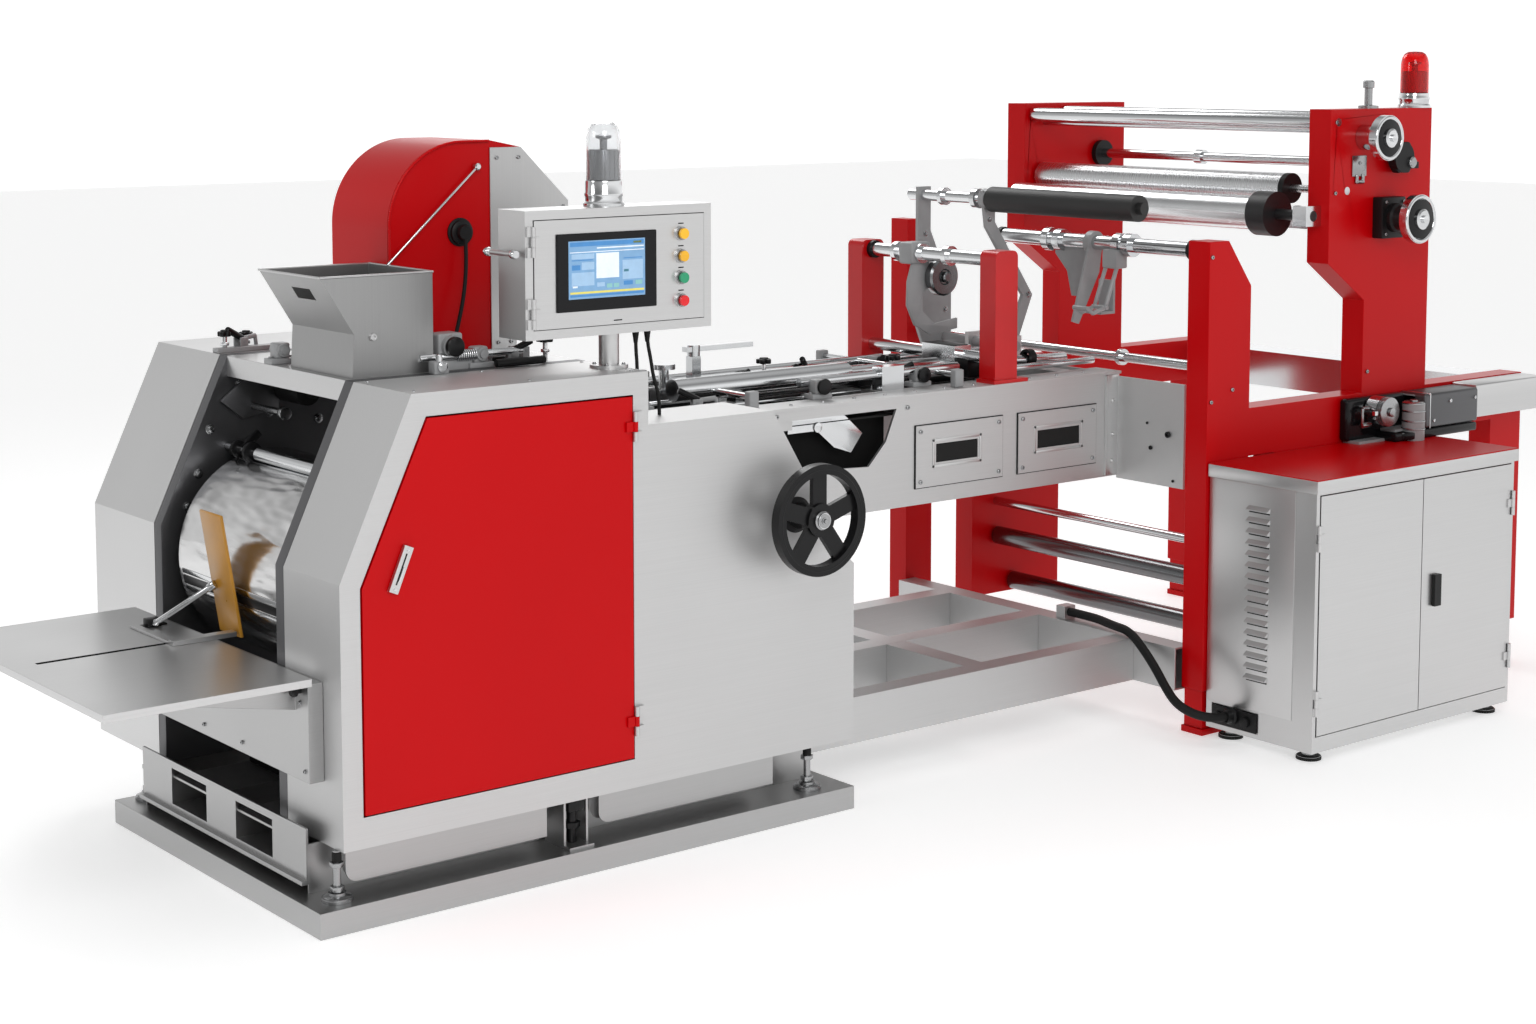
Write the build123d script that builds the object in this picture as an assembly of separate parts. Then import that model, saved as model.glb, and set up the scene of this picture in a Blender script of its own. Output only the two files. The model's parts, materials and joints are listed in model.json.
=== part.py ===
"""Roll-fed paper bag making machine: housings, forming section, unwinder stand and cabinet.

Stations are millimetres from the near delivery corner of the base plate: X runs along the machine
towards the unwinder, Y runs away from the operator, Z is up from the floor. The written parts have
their origin at the centre of the base plate's underside.
"""
from build123d import *
import math
import os

# ---------------------------------------------------------------- driving dimensions
# base and chassis
BASE_LENGTH = 1550.0
BASE_WIDTH = 1085.0
BASE_HEIGHT = 60.0
BASE_SHEET = 5.0
BASE_RIB = 80.0
CHASSIS_FRONT_X = 39.0
CHASSIS_NEAR_Y = 136.0
CHASSIS_FAR_Y = 996.0
CHASSIS_TOP = 212.0
CHASSIS_SHEET = 6.0
FORK_POCKET_Z = (104.0, 194.0)
FORK_POCKETS_Y = ((298.0, 483.0), (638.0, 829.0))
FORK_POCKET_DEPTH = 420.0
RAIL_BEAM = 70.0
RAIL_Z = (122.0, 247.0)
RAIL_WALL = 5.0
RAIL_MID_Y = 530.0
HOSE_CLAMP_Y = 430.0

# housings
FRONT_X = 77.0
KNEE_Z = 781.0
DECK_FRONT_X = 266.0
DECK_BACK_X = 919.0
DECK_Z = 1192.0
HOUSING_BOTTOM = 175.0
STEP_Z = 1062.0
STEP_BACK_X = 1302.0
SIDE_BACK_X = 1572.0
SIDE_SLANT_Z = 640.0
SIDE_SHEET = 4.0
NEAR_FACE_Y = 30.0
NEAR_CASE_Y = 292.0
SHEET = 4.0
SEAM = 2.0
MOUTH_NEAR_Y = 332.0
MOUTH_FAR_Y = 940.0
FRAME_RIM = 38.0
FRAME_PLATE = 20.0
FAR_FACE_Y = 1340.0
DECK_THICKNESS = 12.0

# red door in the near housing
DOOR_BACK_X = 870.0
DOOR_FRONT_X = 132.0
DOOR_TOP_FRONT_X = 305.0
DOOR_TOP_Z = DECK_Z - 58
DOOR_BOTTOM_Z = 250.0
DOOR_KNEE_Z = 766.0
DOOR_THICKNESS = 16.0
DOOR_PROUD = 3.0
DOOR_GAP = 4.0
HINGE_R = 6.0
HINGE_STEP = 5.0

# drum and main drive
DRUM_X = 349.0
DRUM_Z = 707.0
DRUM_R = 250.0
DRUM_WALL = 8.0
DRUM_SHAFT_R = 30.0
DRUM_END_GAP = 18.0
PULLEY_WIDTH = 26.0
PULLEY_GAP = 8.0
DRUM_PULLEY_R = 120.0
MAIN_PULLEY_R = 60.0
BELT_THICKNESS = 5.0
MAIN_X = 1378.0
MAIN_Z = 789.0
MAIN_SHAFT_R = 20.0
HANDWHEEL_R = 142.0
HANDWHEEL_Y = -62.0
HANDWHEEL_SPOKES = 5
BOSS_WALL = 26.0
RUNNING = 0.05

# forming section
FORMING_NEAR_Y = 236.0
FORMING_FAR_Y = 884.0
FORMING_BACK_X = 2775.0
FORMING_BOTTOM = 716.0
FORMING_TOP = 1026.0
FORMING_WEB = 8.0
FORMING_FLANGE = 94.0
POST_X = (2274.0, 2360.0)
POST_DEPTH = 64.0
POST_TOP = 1400.0
CROSS_SHAFT_R = 20.0
CROSS_SHAFT_Z = 1372.0

# swing arm with the rubber roller
SWING_PIVOT_X = 2690.0
SWING_PIVOT_Z = 1072.0
SWING_TUBE_R = 16.0
RUBBER_X = 2600.0
RUBBER_Z = 1520.0
RUBBER_R = 38.0
RUBBER_SHAFT_R = 17.0
RUBBER_Y = (4.0, 596.0)

# unwinder stand
STAND_NEAR_Y = (-105.0, -25.0)
STAND_FAR_Y = (1171.0, 1251.0)
STAND_SHEET = 8.0
STAND_FRONT_X = 2775.0
STAND_POST = 180.0
STAND_FAR_POST = 112.0
STAND_BACK_X = 4283.0
STAND_FOOT_Z = 130.0
STAND_BEAM_Z = (796.0, 936.0)
TOWER_X = (3297.0, 3779.0)
TOWER_Z = (1335.0, 1790.0)
TOWER_NECK_X = 3469.0
TOWER_NECK_Z = 1217.0
WEB_SHAFT_X = 2830.0
WEB_SHAFT_Z = 1392.0
WEB_SHAFT_R = 22.0
ROLLER_SHAFT_R = 12.0

# electrical cabinet
CABINET_X = (2788.0, 3695.0)
CABINET_Y = (-490.0, -109.0)
CABINET_BOTTOM = 30.0
CABINET_TOP = 795.0
LID_THICKNESS = 36.0
CABINET_SHEET = 3.0
CABINET_DOOR_Z = (78.0, 748.0)
CABINET_DOOR_THICKNESS = 16.0
CABINET_STILE = 14.0
CABINET_SEAM = 3.0

# operator box
OPBOX_X = (610.0, 1155.0)
OPBOX_Y = (90.0, 205.0)
OPBOX_Z = (DECK_Z + 88, DECK_Z + 393)
OPBOX_BORDER = 24.0
OPBOX_SHEET = 3.0
OPDOOR_THICKNESS = 14.0
OPDOOR_GAP = 2.0
OPPOST_X = 888.0
OPPOST_Y = 150.0
OPPOST_R = 25.0
SCREEN_X = (695.0, 985.0)
SCREEN_Z = (OPBOX_Z[0] + 61, OPBOX_Z[1] - 58)
BUTTON_X = 1061.0
BUTTON_Z = (OPBOX_Z[0] + 234, OPBOX_Z[0] + 179, OPBOX_Z[0] + 126, OPBOX_Z[0] + 70)
BUTTON_R = 13.0
BUTTON_TRAVEL = 4.0

# delivery side
TABLE_X = (-458.0, 30.0)
TABLE_Y = (76.0, 1000.0)
TABLE_Z = 570.0
TABLE_SHEET = 4.0
TABLE_EDGE = 18.0
SLOT_Y = 590.0
SLOT_WIDTH = 16.0
SLOT_X = (-394.0, -58.0)
COVER_Z = (320.0, 548.0)
COVER_Y = (113.0, 957.0)

parts = {}


# ---------------------------------------------------------------- shape helpers
def slab(x, y, z):
    """Box between two stations on each axis."""
    size = (x[1] - x[0], y[1] - y[0], z[1] - z[0])
    middle = ((x[0] + x[1]) / 2, (y[0] + y[1]) / 2, (z[0] + z[1]) / 2)
    return Pos(*middle) * Box(*size)


def rod_x(y, z, r, x):
    """Cylinder along X between two stations."""
    return Pos((x[0] + x[1]) / 2, y, z) * Rot(0, 90, 0) * Cylinder(r, x[1] - x[0])


def rod_y(x, z, r, y):
    """Cylinder along Y between two stations."""
    return Pos(x, (y[0] + y[1]) / 2, z) * Rot(90, 0, 0) * Cylinder(r, y[1] - y[0])


def rod_z(x, y, r, z):
    """Cylinder along Z between two stations."""
    return Pos(x, y, (z[0] + z[1]) / 2) * Cylinder(r, z[1] - z[0])


def ring_y(x, z, outer, inner, y):
    """Ring along Y between two stations."""
    return rod_y(x, z, outer, y) - rod_y(x, z, inner, (y[0] - 1, y[1] + 1))


def outline(points):
    """Face in the XY plane with straight edges."""
    return make_face(Polyline(*points, close=True))


def side_plate(face, y):
    """Face drawn with (x, z) coordinates, extruded between two Y stations."""
    return Pos(0, y[1], 0) * Rot(90, 0, 0) * extrude(face, amount=y[1] - y[0], dir=(0, 0, 1))


def side_shell(points, y, wall, open_side):
    """Hollow casing of one side outline, with one side left open: 'near', 'far' or 'none'."""
    face = outline(points)
    inner = offset(face, amount=-wall, kind=Kind.INTERSECTION)
    near = y[0] - 1 if open_side == "near" else y[0] + wall
    far = y[1] + 1 if open_side == "far" else y[1] - wall
    return side_plate(face, y) - side_plate(inner, (near, far))


def tube_beam(x, y, z, wall, along):
    """Rectangular tube, open at its ends, along 'x' or 'y'."""
    outer = slab(x, y, z)
    if along == "x":
        return outer - slab((x[0] - 1, x[1] + 1), (y[0] + wall, y[1] - wall), (z[0] + wall, z[1] - wall))
    return outer - slab((x[0] + wall, x[1] - wall), (y[0] - 1, y[1] + 1), (z[0] + wall, z[1] - wall))


def group(*solids):
    """Separate solids kept together in one node."""
    return Compound(children=[solid for piece in solids for solid in piece.solids()])


def shaft_roller(x, z, radius, y, shaft_r, shaft_y):
    """Roller sleeve with the stub shafts it turns on."""
    return rod_y(x, z, radius, y) + rod_y(x, z, shaft_r, shaft_y)


def dished_handwheel(x, z, radius, y):
    """Small handwheel: turned rim with a web and a hub, facing the operator."""
    rim = ring_y(x, z, radius, radius - 12, (y[0], y[0] + 24))
    web = rod_y(x, z, radius - 11, (y[0] + 14, y[0] + 20))
    hub = rod_y(x, z, radius * 0.42, (y[0] + 4, y[1]))
    return rim + web + hub


# ---------------------------------------------------------------- base and chassis
def make_base_plate():
    tray = slab((0, BASE_LENGTH), (0, BASE_WIDTH), (0, BASE_HEIGHT))
    rib = ((BASE_WIDTH - BASE_RIB) / 2, (BASE_WIDTH + BASE_RIB) / 2)
    inside_x = (BASE_SHEET, BASE_LENGTH - BASE_SHEET)
    inside_z = (-1, BASE_HEIGHT - BASE_SHEET)
    tray -= slab(inside_x, (BASE_SHEET, rib[0]), inside_z)
    tray -= slab(inside_x, (rib[1], BASE_WIDTH - BASE_SHEET), inside_z)
    return tray


def make_chassis_box():
    """Front plate with fork pockets, side sheets, troughs and jack brackets."""
    front = (CHASSIS_FRONT_X, CHASSIS_FRONT_X + CHASSIS_SHEET)
    box = slab(front, (CHASSIS_NEAR_Y, CHASSIS_FAR_Y), (BASE_HEIGHT + 22, CHASSIS_TOP))
    box += slab((CHASSIS_FRONT_X - 12, front[1]), (CHASSIS_NEAR_Y, CHASSIS_FAR_Y), (BASE_HEIGHT + 22, BASE_HEIGHT + 32))
    reach = CHASSIS_FRONT_X + FORK_POCKET_DEPTH
    sleeve_top = HOUSING_BOTTOM - SEAM
    for pocket in FORK_POCKETS_Y:
        box += slab((CHASSIS_FRONT_X, reach), (pocket[0] - CHASSIS_SHEET, pocket[1] + CHASSIS_SHEET),
                    (FORK_POCKET_Z[0] - CHASSIS_SHEET, sleeve_top))
    for pocket in FORK_POCKETS_Y:
        box -= slab((CHASSIS_FRONT_X - 1, front[1] + 1), pocket, FORK_POCKET_Z)
        box -= slab((CHASSIS_FRONT_X - 1, reach + 1), pocket, (FORK_POCKET_Z[0], sleeve_top - CHASSIS_SHEET))
    sides = []
    for y in (CHASSIS_NEAR_Y, CHASSIS_FAR_Y - CHASSIS_SHEET):
        sides.append(slab((front[1], BASE_LENGTH - 40), (y, y + CHASSIS_SHEET), (BASE_HEIGHT, HOUSING_BOTTOM)))
    troughs = []
    for x in ((100, 640), (790, 1330)):
        face = fillet(outline([(x[0], 92), (x[1], 92), (x[1], HOUSING_BOTTOM), (x[0], HOUSING_BOTTOM)]).vertices()[:1],
                      30)
        troughs.append(side_plate(face, (NEAR_FACE_Y + 34, NEAR_FACE_Y + 38)))
    brackets = []
    for x in (672,):
        gusset = slab((x, x + 70), (14, 120), (BASE_HEIGHT, BASE_HEIGHT + 8))
        gusset += slab((x, x + 6), (40, 120), (BASE_HEIGHT, HOUSING_BOTTOM))
        gusset += slab((x + 64, x + 70), (40, 120), (BASE_HEIGHT, HOUSING_BOTTOM))
        brackets.append(gusset)
    return group(box, *sides, *troughs, *brackets)


def make_chassis_rails():
    """Three long beams from the body to the stand, and two cross beams between them."""
    start = BASE_LENGTH - 40
    end = FORMING_BACK_X - 30
    far = CHASSIS_FAR_Y - RAIL_BEAM
    beams = []
    for y in (CHASSIS_NEAR_Y, far):
        beams.append(tube_beam((start, end), (y, y + RAIL_BEAM), RAIL_Z, RAIL_WALL, "x"))
    beams.append(tube_beam((start, end), (RAIL_MID_Y, RAIL_MID_Y + RAIL_BEAM), RAIL_Z, RAIL_WALL, "x"))
    for x in (start + 60, (start + end) / 2):
        for y in ((CHASSIS_NEAR_Y + RAIL_BEAM, RAIL_MID_Y), (RAIL_MID_Y + RAIL_BEAM, far)):
            beams.append(tube_beam((x, x + RAIL_BEAM), y, RAIL_Z, RAIL_WALL, "y"))
    beams.append(tube_beam((end, end + RAIL_BEAM), (STAND_NEAR_Y[1], STAND_FAR_Y[0]), RAIL_Z, RAIL_WALL, "y"))
    clamp = slab((end + 12, end + 58), (HOSE_CLAMP_Y, HOSE_CLAMP_Y + 36), (RAIL_Z[1], RAIL_Z[1] + 40))
    return group(*beams, clamp)


def levelling_foot(x, y, floor, height):
    foot = rod_z(x, y, 34, (floor, floor + 10))
    foot += rod_z(x, y, 20, (floor + 10, floor + 20))
    foot += rod_z(x, y, 9, (floor + 20, floor + height))
    return foot


def make_levelling_feet():
    feet = []
    for x in (75, BASE_LENGTH - 110):
        for y in (60, BASE_WIDTH - 44):
            feet.append(levelling_foot(x, y, BASE_HEIGHT, HOUSING_BOTTOM - BASE_HEIGHT))
    for x in (CABINET_X[0] + 50, CABINET_X[1] - 50):
        for y in (CABINET_Y[0] + 50, CABINET_Y[1] - 50):
            feet.append(levelling_foot(x, y, 0, CABINET_BOTTOM))
    return group(*feet)


# ---------------------------------------------------------------- housings
CASE_OUTLINE = [
    (FRONT_X, HOUSING_BOTTOM),
    (FRONT_X, KNEE_Z),
    (DECK_FRONT_X, DECK_Z),
    (DECK_BACK_X, DECK_Z),
    (DECK_BACK_X, HOUSING_BOTTOM),
]

DOOR_OUTLINE = [
    (DOOR_FRONT_X, DOOR_BOTTOM_Z),
    (DOOR_FRONT_X, DOOR_KNEE_Z),
    (DOOR_TOP_FRONT_X, DOOR_TOP_Z),
    (DOOR_BACK_X, DOOR_TOP_Z),
    (DOOR_BACK_X, DOOR_BOTTOM_Z),
]

SIDE_OUTLINE = [
    (DECK_BACK_X, HOUSING_BOTTOM),
    (DECK_BACK_X, STEP_Z),
    (STEP_BACK_X, STEP_Z),
    (SIDE_BACK_X - 17, SIDE_SLANT_Z + 15),
    (SIDE_BACK_X, SIDE_SLANT_Z),
    (SIDE_BACK_X, HOUSING_BOTTOM),
]

DOOR_HINGE_X = DOOR_BACK_X + HINGE_STEP
DOOR_HINGE_Y = NEAR_FACE_Y - DOOR_PROUD - HINGE_R
DOOR_HINGE_Z = (DOOR_BOTTOM_Z + 80, DOOR_TOP_Z - 84)
KNUCKLE = 24.0
KNUCKLE_GAP = 0.6


def knuckle(x, y, z):
    return rod_z(x, y, HINGE_R, z)


def make_near_housing():
    """Operator-side casing with its door opening, and the lower side sheet."""
    case = side_shell(CASE_OUTLINE, (NEAR_FACE_Y, NEAR_CASE_Y), SHEET, "far")
    opening = offset(outline(DOOR_OUTLINE), amount=DOOR_GAP, kind=Kind.INTERSECTION)
    case -= side_plate(opening, (NEAR_FACE_Y - 1, NEAR_FACE_Y + SHEET + 1))
    for z in DOOR_HINGE_Z:
        for low in (z - KNUCKLE, z + KNUCKLE + KNUCKLE_GAP):
            leaf_x = (DOOR_HINGE_X + 1, DOOR_HINGE_X + 22)
            case += slab(leaf_x, (DOOR_HINGE_Y, NEAR_FACE_Y), (low, low + KNUCKLE - KNUCKLE_GAP))
            case += knuckle(DOOR_HINGE_X, DOOR_HINGE_Y, (low, low + KNUCKLE - KNUCKLE_GAP))
    sheet = side_plate(outline(SIDE_OUTLINE), (NEAR_FACE_Y, NEAR_FACE_Y + SIDE_SHEET))
    sheet -= rod_y(MAIN_X, MAIN_Z, MAIN_SHAFT_R + 12, (NEAR_FACE_Y - 1, NEAR_FACE_Y + SIDE_SHEET + 1))
    sheet += slab((DECK_BACK_X, STEP_BACK_X - 4), (NEAR_FACE_Y, FORMING_NEAR_Y - 8), (STEP_Z - SIDE_SHEET, STEP_Z))
    return group(case, sheet)


def make_far_housing():
    return group(side_shell(CASE_OUTLINE, (MOUTH_FAR_Y + FRAME_RIM + SEAM, FAR_FACE_Y), SHEET, "near"))


def frame_plate(near):
    """Thick plate with a rim on its outer side and a bearing boss on its inner side."""
    face = outline(CASE_OUTLINE)
    inner = offset(face, amount=-10, kind=Kind.INTERSECTION)
    if near:
        plate = side_plate(face, (MOUTH_NEAR_Y - FRAME_RIM, MOUTH_NEAR_Y))
        plate -= side_plate(inner, (MOUTH_NEAR_Y - FRAME_RIM - 1, MOUTH_NEAR_Y - FRAME_PLATE))
        boss = (MOUTH_NEAR_Y, MOUTH_NEAR_Y + DRUM_END_GAP - 4)
        bore = (MOUTH_NEAR_Y - FRAME_RIM - 1, MOUTH_NEAR_Y + DRUM_END_GAP)
    else:
        plate = side_plate(face, (MOUTH_FAR_Y, MOUTH_FAR_Y + FRAME_RIM))
        plate -= side_plate(inner, (MOUTH_FAR_Y + FRAME_PLATE, MOUTH_FAR_Y + FRAME_RIM + 1))
        boss = (MOUTH_FAR_Y - PULLEY_GAP + 2, MOUTH_FAR_Y)
        bore = (MOUTH_FAR_Y - PULLEY_GAP, MOUTH_FAR_Y + FRAME_RIM + 1)
    plate += rod_y(DRUM_X, DRUM_Z, DRUM_SHAFT_R + BOSS_WALL, boss)
    plate -= rod_y(DRUM_X, DRUM_Z, DRUM_SHAFT_R + RUNNING, bore)
    return plate


PRESS_X = DRUM_X - 87
PRESS_Z = DRUM_Z + 256
PRESS_R = 17.0
PRESS_SHAFT_R = 8.0


def make_frame_plates():
    plates = []
    for near in (True, False):
        plate = frame_plate(near)
        reach = (MOUTH_NEAR_Y - FRAME_RIM, MOUTH_FAR_Y + FRAME_RIM)
        plates.append(plate - rod_y(PRESS_X, PRESS_Z, PRESS_SHAFT_R + RUNNING, reach))
    return group(*plates)


def make_top_deck():
    deck = slab((DECK_FRONT_X, DECK_BACK_X), (MOUTH_NEAR_Y, MOUTH_FAR_Y), (DECK_Z - DECK_THICKNESS, DECK_Z))
    deck += slab((DECK_FRONT_X, DECK_FRONT_X + 5), (MOUTH_NEAR_Y, MOUTH_FAR_Y), (DECK_Z - 52, DECK_Z))
    deck += slab((DECK_BACK_X - 6, DECK_BACK_X), (MOUTH_NEAR_Y, MOUTH_FAR_Y), (STEP_Z, DECK_Z))
    return group(deck)


# ---------------------------------------------------------------- doors and handles
def make_side_door():
    y = NEAR_FACE_Y - DOOR_PROUD
    door = side_shell(DOOR_OUTLINE, (y, y + DOOR_THICKNESS), 3.0, "far")
    for z in DOOR_HINGE_Z:
        door += slab((DOOR_HINGE_X - 26, DOOR_HINGE_X - 1), (DOOR_HINGE_Y, y + 1), (z, z + KNUCKLE))
        door += knuckle(DOOR_HINGE_X, DOOR_HINGE_Y, (z, z + KNUCKLE))
    spindle = rod_y(SIDE_HANDLE[0], SIDE_HANDLE[1], SPINDLE_R + RUNNING, (y - 1, y + 4))
    return group(door - spindle)


SIDE_HANDLE = (226.0, 800.0)
SPINDLE_R = 7.0
HANDLE_TILT = 23.0


def quarter_turn_handle(x, z, y, length, width, tilt, cam):
    """Handle plate in front of a door, with its spindle and the cam behind the door."""
    plate = Pos(x, y - 7, z) * Rot(0, tilt, 0) * Box(width, 10, length)
    spindle = rod_y(x, z, SPINDLE_R, (y - 3, y + 26))
    latch = slab((x - 8, x + 8), (y + 20, y + 26), (z - 8, z + cam))
    return plate + spindle + latch


def make_side_door_handle():
    face_y = NEAR_FACE_Y - DOOR_PROUD
    return group(quarter_turn_handle(SIDE_HANDLE[0], SIDE_HANDLE[1], face_y, 110, 24, HANDLE_TILT, 40))


# ---------------------------------------------------------------- drum and main drive
DRUM_Y = (MOUTH_NEAR_Y + DRUM_END_GAP, MOUTH_FAR_Y - 2 * PULLEY_GAP - PULLEY_WIDTH - 10)
PULLEY_Y = (MOUTH_FAR_Y - PULLEY_GAP - PULLEY_WIDTH, MOUTH_FAR_Y - PULLEY_GAP)


def make_forming_drum():
    drum = rod_y(DRUM_X, DRUM_Z, DRUM_R, DRUM_Y)
    drum -= rod_y(DRUM_X, DRUM_Z, DRUM_R - DRUM_WALL, (DRUM_Y[0] + 12, DRUM_Y[1] - 12))
    drum += rod_y(DRUM_X, DRUM_Z, DRUM_SHAFT_R, (MOUTH_NEAR_Y - FRAME_RIM + 6, MOUTH_FAR_Y + FRAME_RIM - 6))
    drum += rod_y(DRUM_X, DRUM_Z, DRUM_PULLEY_R, PULLEY_Y)
    return group(drum)


def make_handwheel():
    y = (HANDWHEEL_Y - 14, HANDWHEEL_Y + 14)
    wheel = ring_y(MAIN_X, MAIN_Z, HANDWHEEL_R, HANDWHEEL_R - 26, y)
    for i in range(HANDWHEEL_SPOKES):
        turn = 360 / HANDWHEEL_SPOKES * i
        spoke = Pos(MAIN_X, HANDWHEEL_Y + 4, MAIN_Z) * Rot(0, turn, 0) * Pos(0, 0, HANDWHEEL_R / 2)
        wheel += spoke * Box(44, 14, HANDWHEEL_R - 30)
    wheel += rod_y(MAIN_X, MAIN_Z, 42, (HANDWHEEL_Y - 10, HANDWHEEL_Y + 22))
    wheel -= rod_y(MAIN_X, MAIN_Z, MAIN_SHAFT_R, (HANDWHEEL_Y - 30, HANDWHEEL_Y + 30))
    return group(wheel)


def make_handwheel_shaft():
    shaft = rod_y(MAIN_X, MAIN_Z, MAIN_SHAFT_R, (HANDWHEEL_Y - 22, PULLEY_Y[1]))
    shaft += rod_y(MAIN_X, MAIN_Z, MAIN_PULLEY_R, PULLEY_Y)
    return group(shaft)


def belt_face(grow):
    """Outline around both pulleys at a given distance from them."""
    big = DRUM_PULLEY_R + grow
    small = MAIN_PULLEY_R + grow
    run = math.hypot(MAIN_X - DRUM_X, MAIN_Z - DRUM_Z)
    lean = math.atan2(MAIN_Z - DRUM_Z, MAIN_X - DRUM_X)
    spread = math.acos((big - small) / run)
    points = []
    for sign in (1, -1):
        angle = lean + sign * spread
        points.append((DRUM_X + big * math.cos(angle), DRUM_Z + big * math.sin(angle)))
        points.append((MAIN_X + small * math.cos(angle), MAIN_Z + small * math.sin(angle)))
    back = (DRUM_X - big * math.cos(lean), DRUM_Z - big * math.sin(lean))
    front = (MAIN_X + small * math.cos(lean), MAIN_Z + small * math.sin(lean))
    edges = [
        Line(points[0], points[1]),
        ThreePointArc(points[1], front, points[3]),
        Line(points[3], points[2]),
        ThreePointArc(points[2], back, points[0]),
    ]
    return make_face(edges)


def make_drive_belt():
    clearance = 0.5
    belt = belt_face(clearance + BELT_THICKNESS) - belt_face(clearance)
    return group(side_plate(belt, (PULLEY_Y[0] + 3, PULLEY_Y[1] - 3)))


MOTOR_Y = (730.0, 840.0)


def make_main_motor():
    """Geared motor whose hollow gearbox sits on the main shaft."""
    gearbox = slab((MAIN_X - 70, MAIN_X + 70), MOTOR_Y, (MAIN_Z - 60, MAIN_Z + 90))
    gearbox += rod_x((MOTOR_Y[0] + MOTOR_Y[1]) / 2, MAIN_Z + 10, 50, (MAIN_X - 300, MAIN_X - 70))
    gearbox += slab((MAIN_X - 50, MAIN_X + 50), (MOTOR_Y[1], FORMING_FAR_Y - FORMING_WEB - 14), (MAIN_Z - 55, MAIN_Z + 55))
    gearbox -= rod_y(MAIN_X, MAIN_Z, MAIN_SHAFT_R + RUNNING, (MOTOR_Y[0] - 1, FORMING_FAR_Y))
    return group(gearbox)


def make_press_roller():
    roller = shaft_roller(PRESS_X, PRESS_Z, PRESS_R, (MOUTH_NEAR_Y + 13, 765.0), PRESS_SHAFT_R,
                          (MOUTH_NEAR_Y - 14, MOUTH_FAR_Y + 14))
    return group(roller)


# ---------------------------------------------------------------- delivery side
def make_delivery_table():
    table = slab(TABLE_X, TABLE_Y, (TABLE_Z - TABLE_EDGE, TABLE_Z))
    inner_x = (TABLE_X[0] + TABLE_SHEET, TABLE_X[1] + 1)
    inner_y = (TABLE_Y[0] + TABLE_SHEET, TABLE_Y[1] - TABLE_SHEET)
    table -= slab(inner_x, inner_y, (TABLE_Z - TABLE_EDGE - 1, TABLE_Z - TABLE_SHEET))
    half = SLOT_WIDTH / 2
    table -= slab(SLOT_X, (SLOT_Y - half, SLOT_Y + half), (TABLE_Z - TABLE_EDGE, TABLE_Z + 1))
    return group(table)


def make_front_cover():
    """Folded cover under the table, with the two arms that carry the table."""
    back = FRONT_X - 1
    cover = slab((CHASSIS_FRONT_X, back), COVER_Y, COVER_Z)
    inner_y = (COVER_Y[0] + SHEET, COVER_Y[1] - SHEET)
    cover -= slab((CHASSIS_FRONT_X + SHEET, back + 1), inner_y, (COVER_Z[0] + SHEET, COVER_Z[1] - SHEET))
    for y in (COVER_Y[0] + 60, COVER_Y[1] - 68):
        arm = outline([
            (CHASSIS_FRONT_X, TABLE_Z - TABLE_SHEET),
            (TABLE_X[0] + 120, TABLE_Z - TABLE_SHEET),
            (TABLE_X[0] + 120, TABLE_Z - TABLE_SHEET - 16),
            (CHASSIS_FRONT_X, COVER_Z[1] - 70),
        ])
        cover += side_plate(arm, (y, y + 8))
    return group(cover)


def make_table_stop():
    """Cross strip and long bar on the table, with a tongue in the table's slot."""
    strip_x = (SLOT_X[1] - 20, SLOT_X[1])
    stop = slab(strip_x, (SLOT_Y - 14, SLOT_Y + 202), (TABLE_Z + 0.5, TABLE_Z + 7))
    stop += slab((strip_x[0], 84), (SLOT_Y - 42, SLOT_Y - 14), (TABLE_Z + 0.5, TABLE_Z + 12))
    tongue = SLOT_WIDTH / 2 - 1
    stop += slab((strip_x[0] + 2, strip_x[1] - 2), (SLOT_Y - tongue, SLOT_Y + tongue), (TABLE_Z - 14, TABLE_Z + 1))
    return group(stop)


PADDLE_PIVOT = (-26.0, 756.0, 582.0)
PADDLE_Y = (545.0, 655.0)


def make_delivery_paddle():
    """Leaning paddle plate and the rod that holds it."""
    face = outline([(92, 566), (100, 566), (53, 866), (45, 866)])
    plate = side_plate(face, PADDLE_Y)
    start = Vector(*PADDLE_PIVOT)
    end = Vector(70, 628, 686)
    run = end - start
    rod = Solid.make_cylinder(7, run.length, Plane(start, z_dir=run))
    foot = Pos(*PADDLE_PIVOT) * Sphere(9)
    return group(plate + rod + foot)


# ---------------------------------------------------------------- top of the body
HOPPER_Y = (340.0, 645.0)
HOPPER_BACK_X = 510.0
HOPPER_RIM_X = 209.0
HOPPER_RIM_Z = DECK_Z + 241
HOPPER_SHEET = 3.0
HOPPER_OUTLINE = [
    (HOPPER_RIM_X, HOPPER_RIM_Z),
    (HOPPER_BACK_X, HOPPER_RIM_Z),
    (HOPPER_BACK_X, DECK_Z),
    (HOPPER_RIM_X + 81, DECK_Z),
    (HOPPER_RIM_X + 87, HOPPER_RIM_Z - 138),
]


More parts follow.
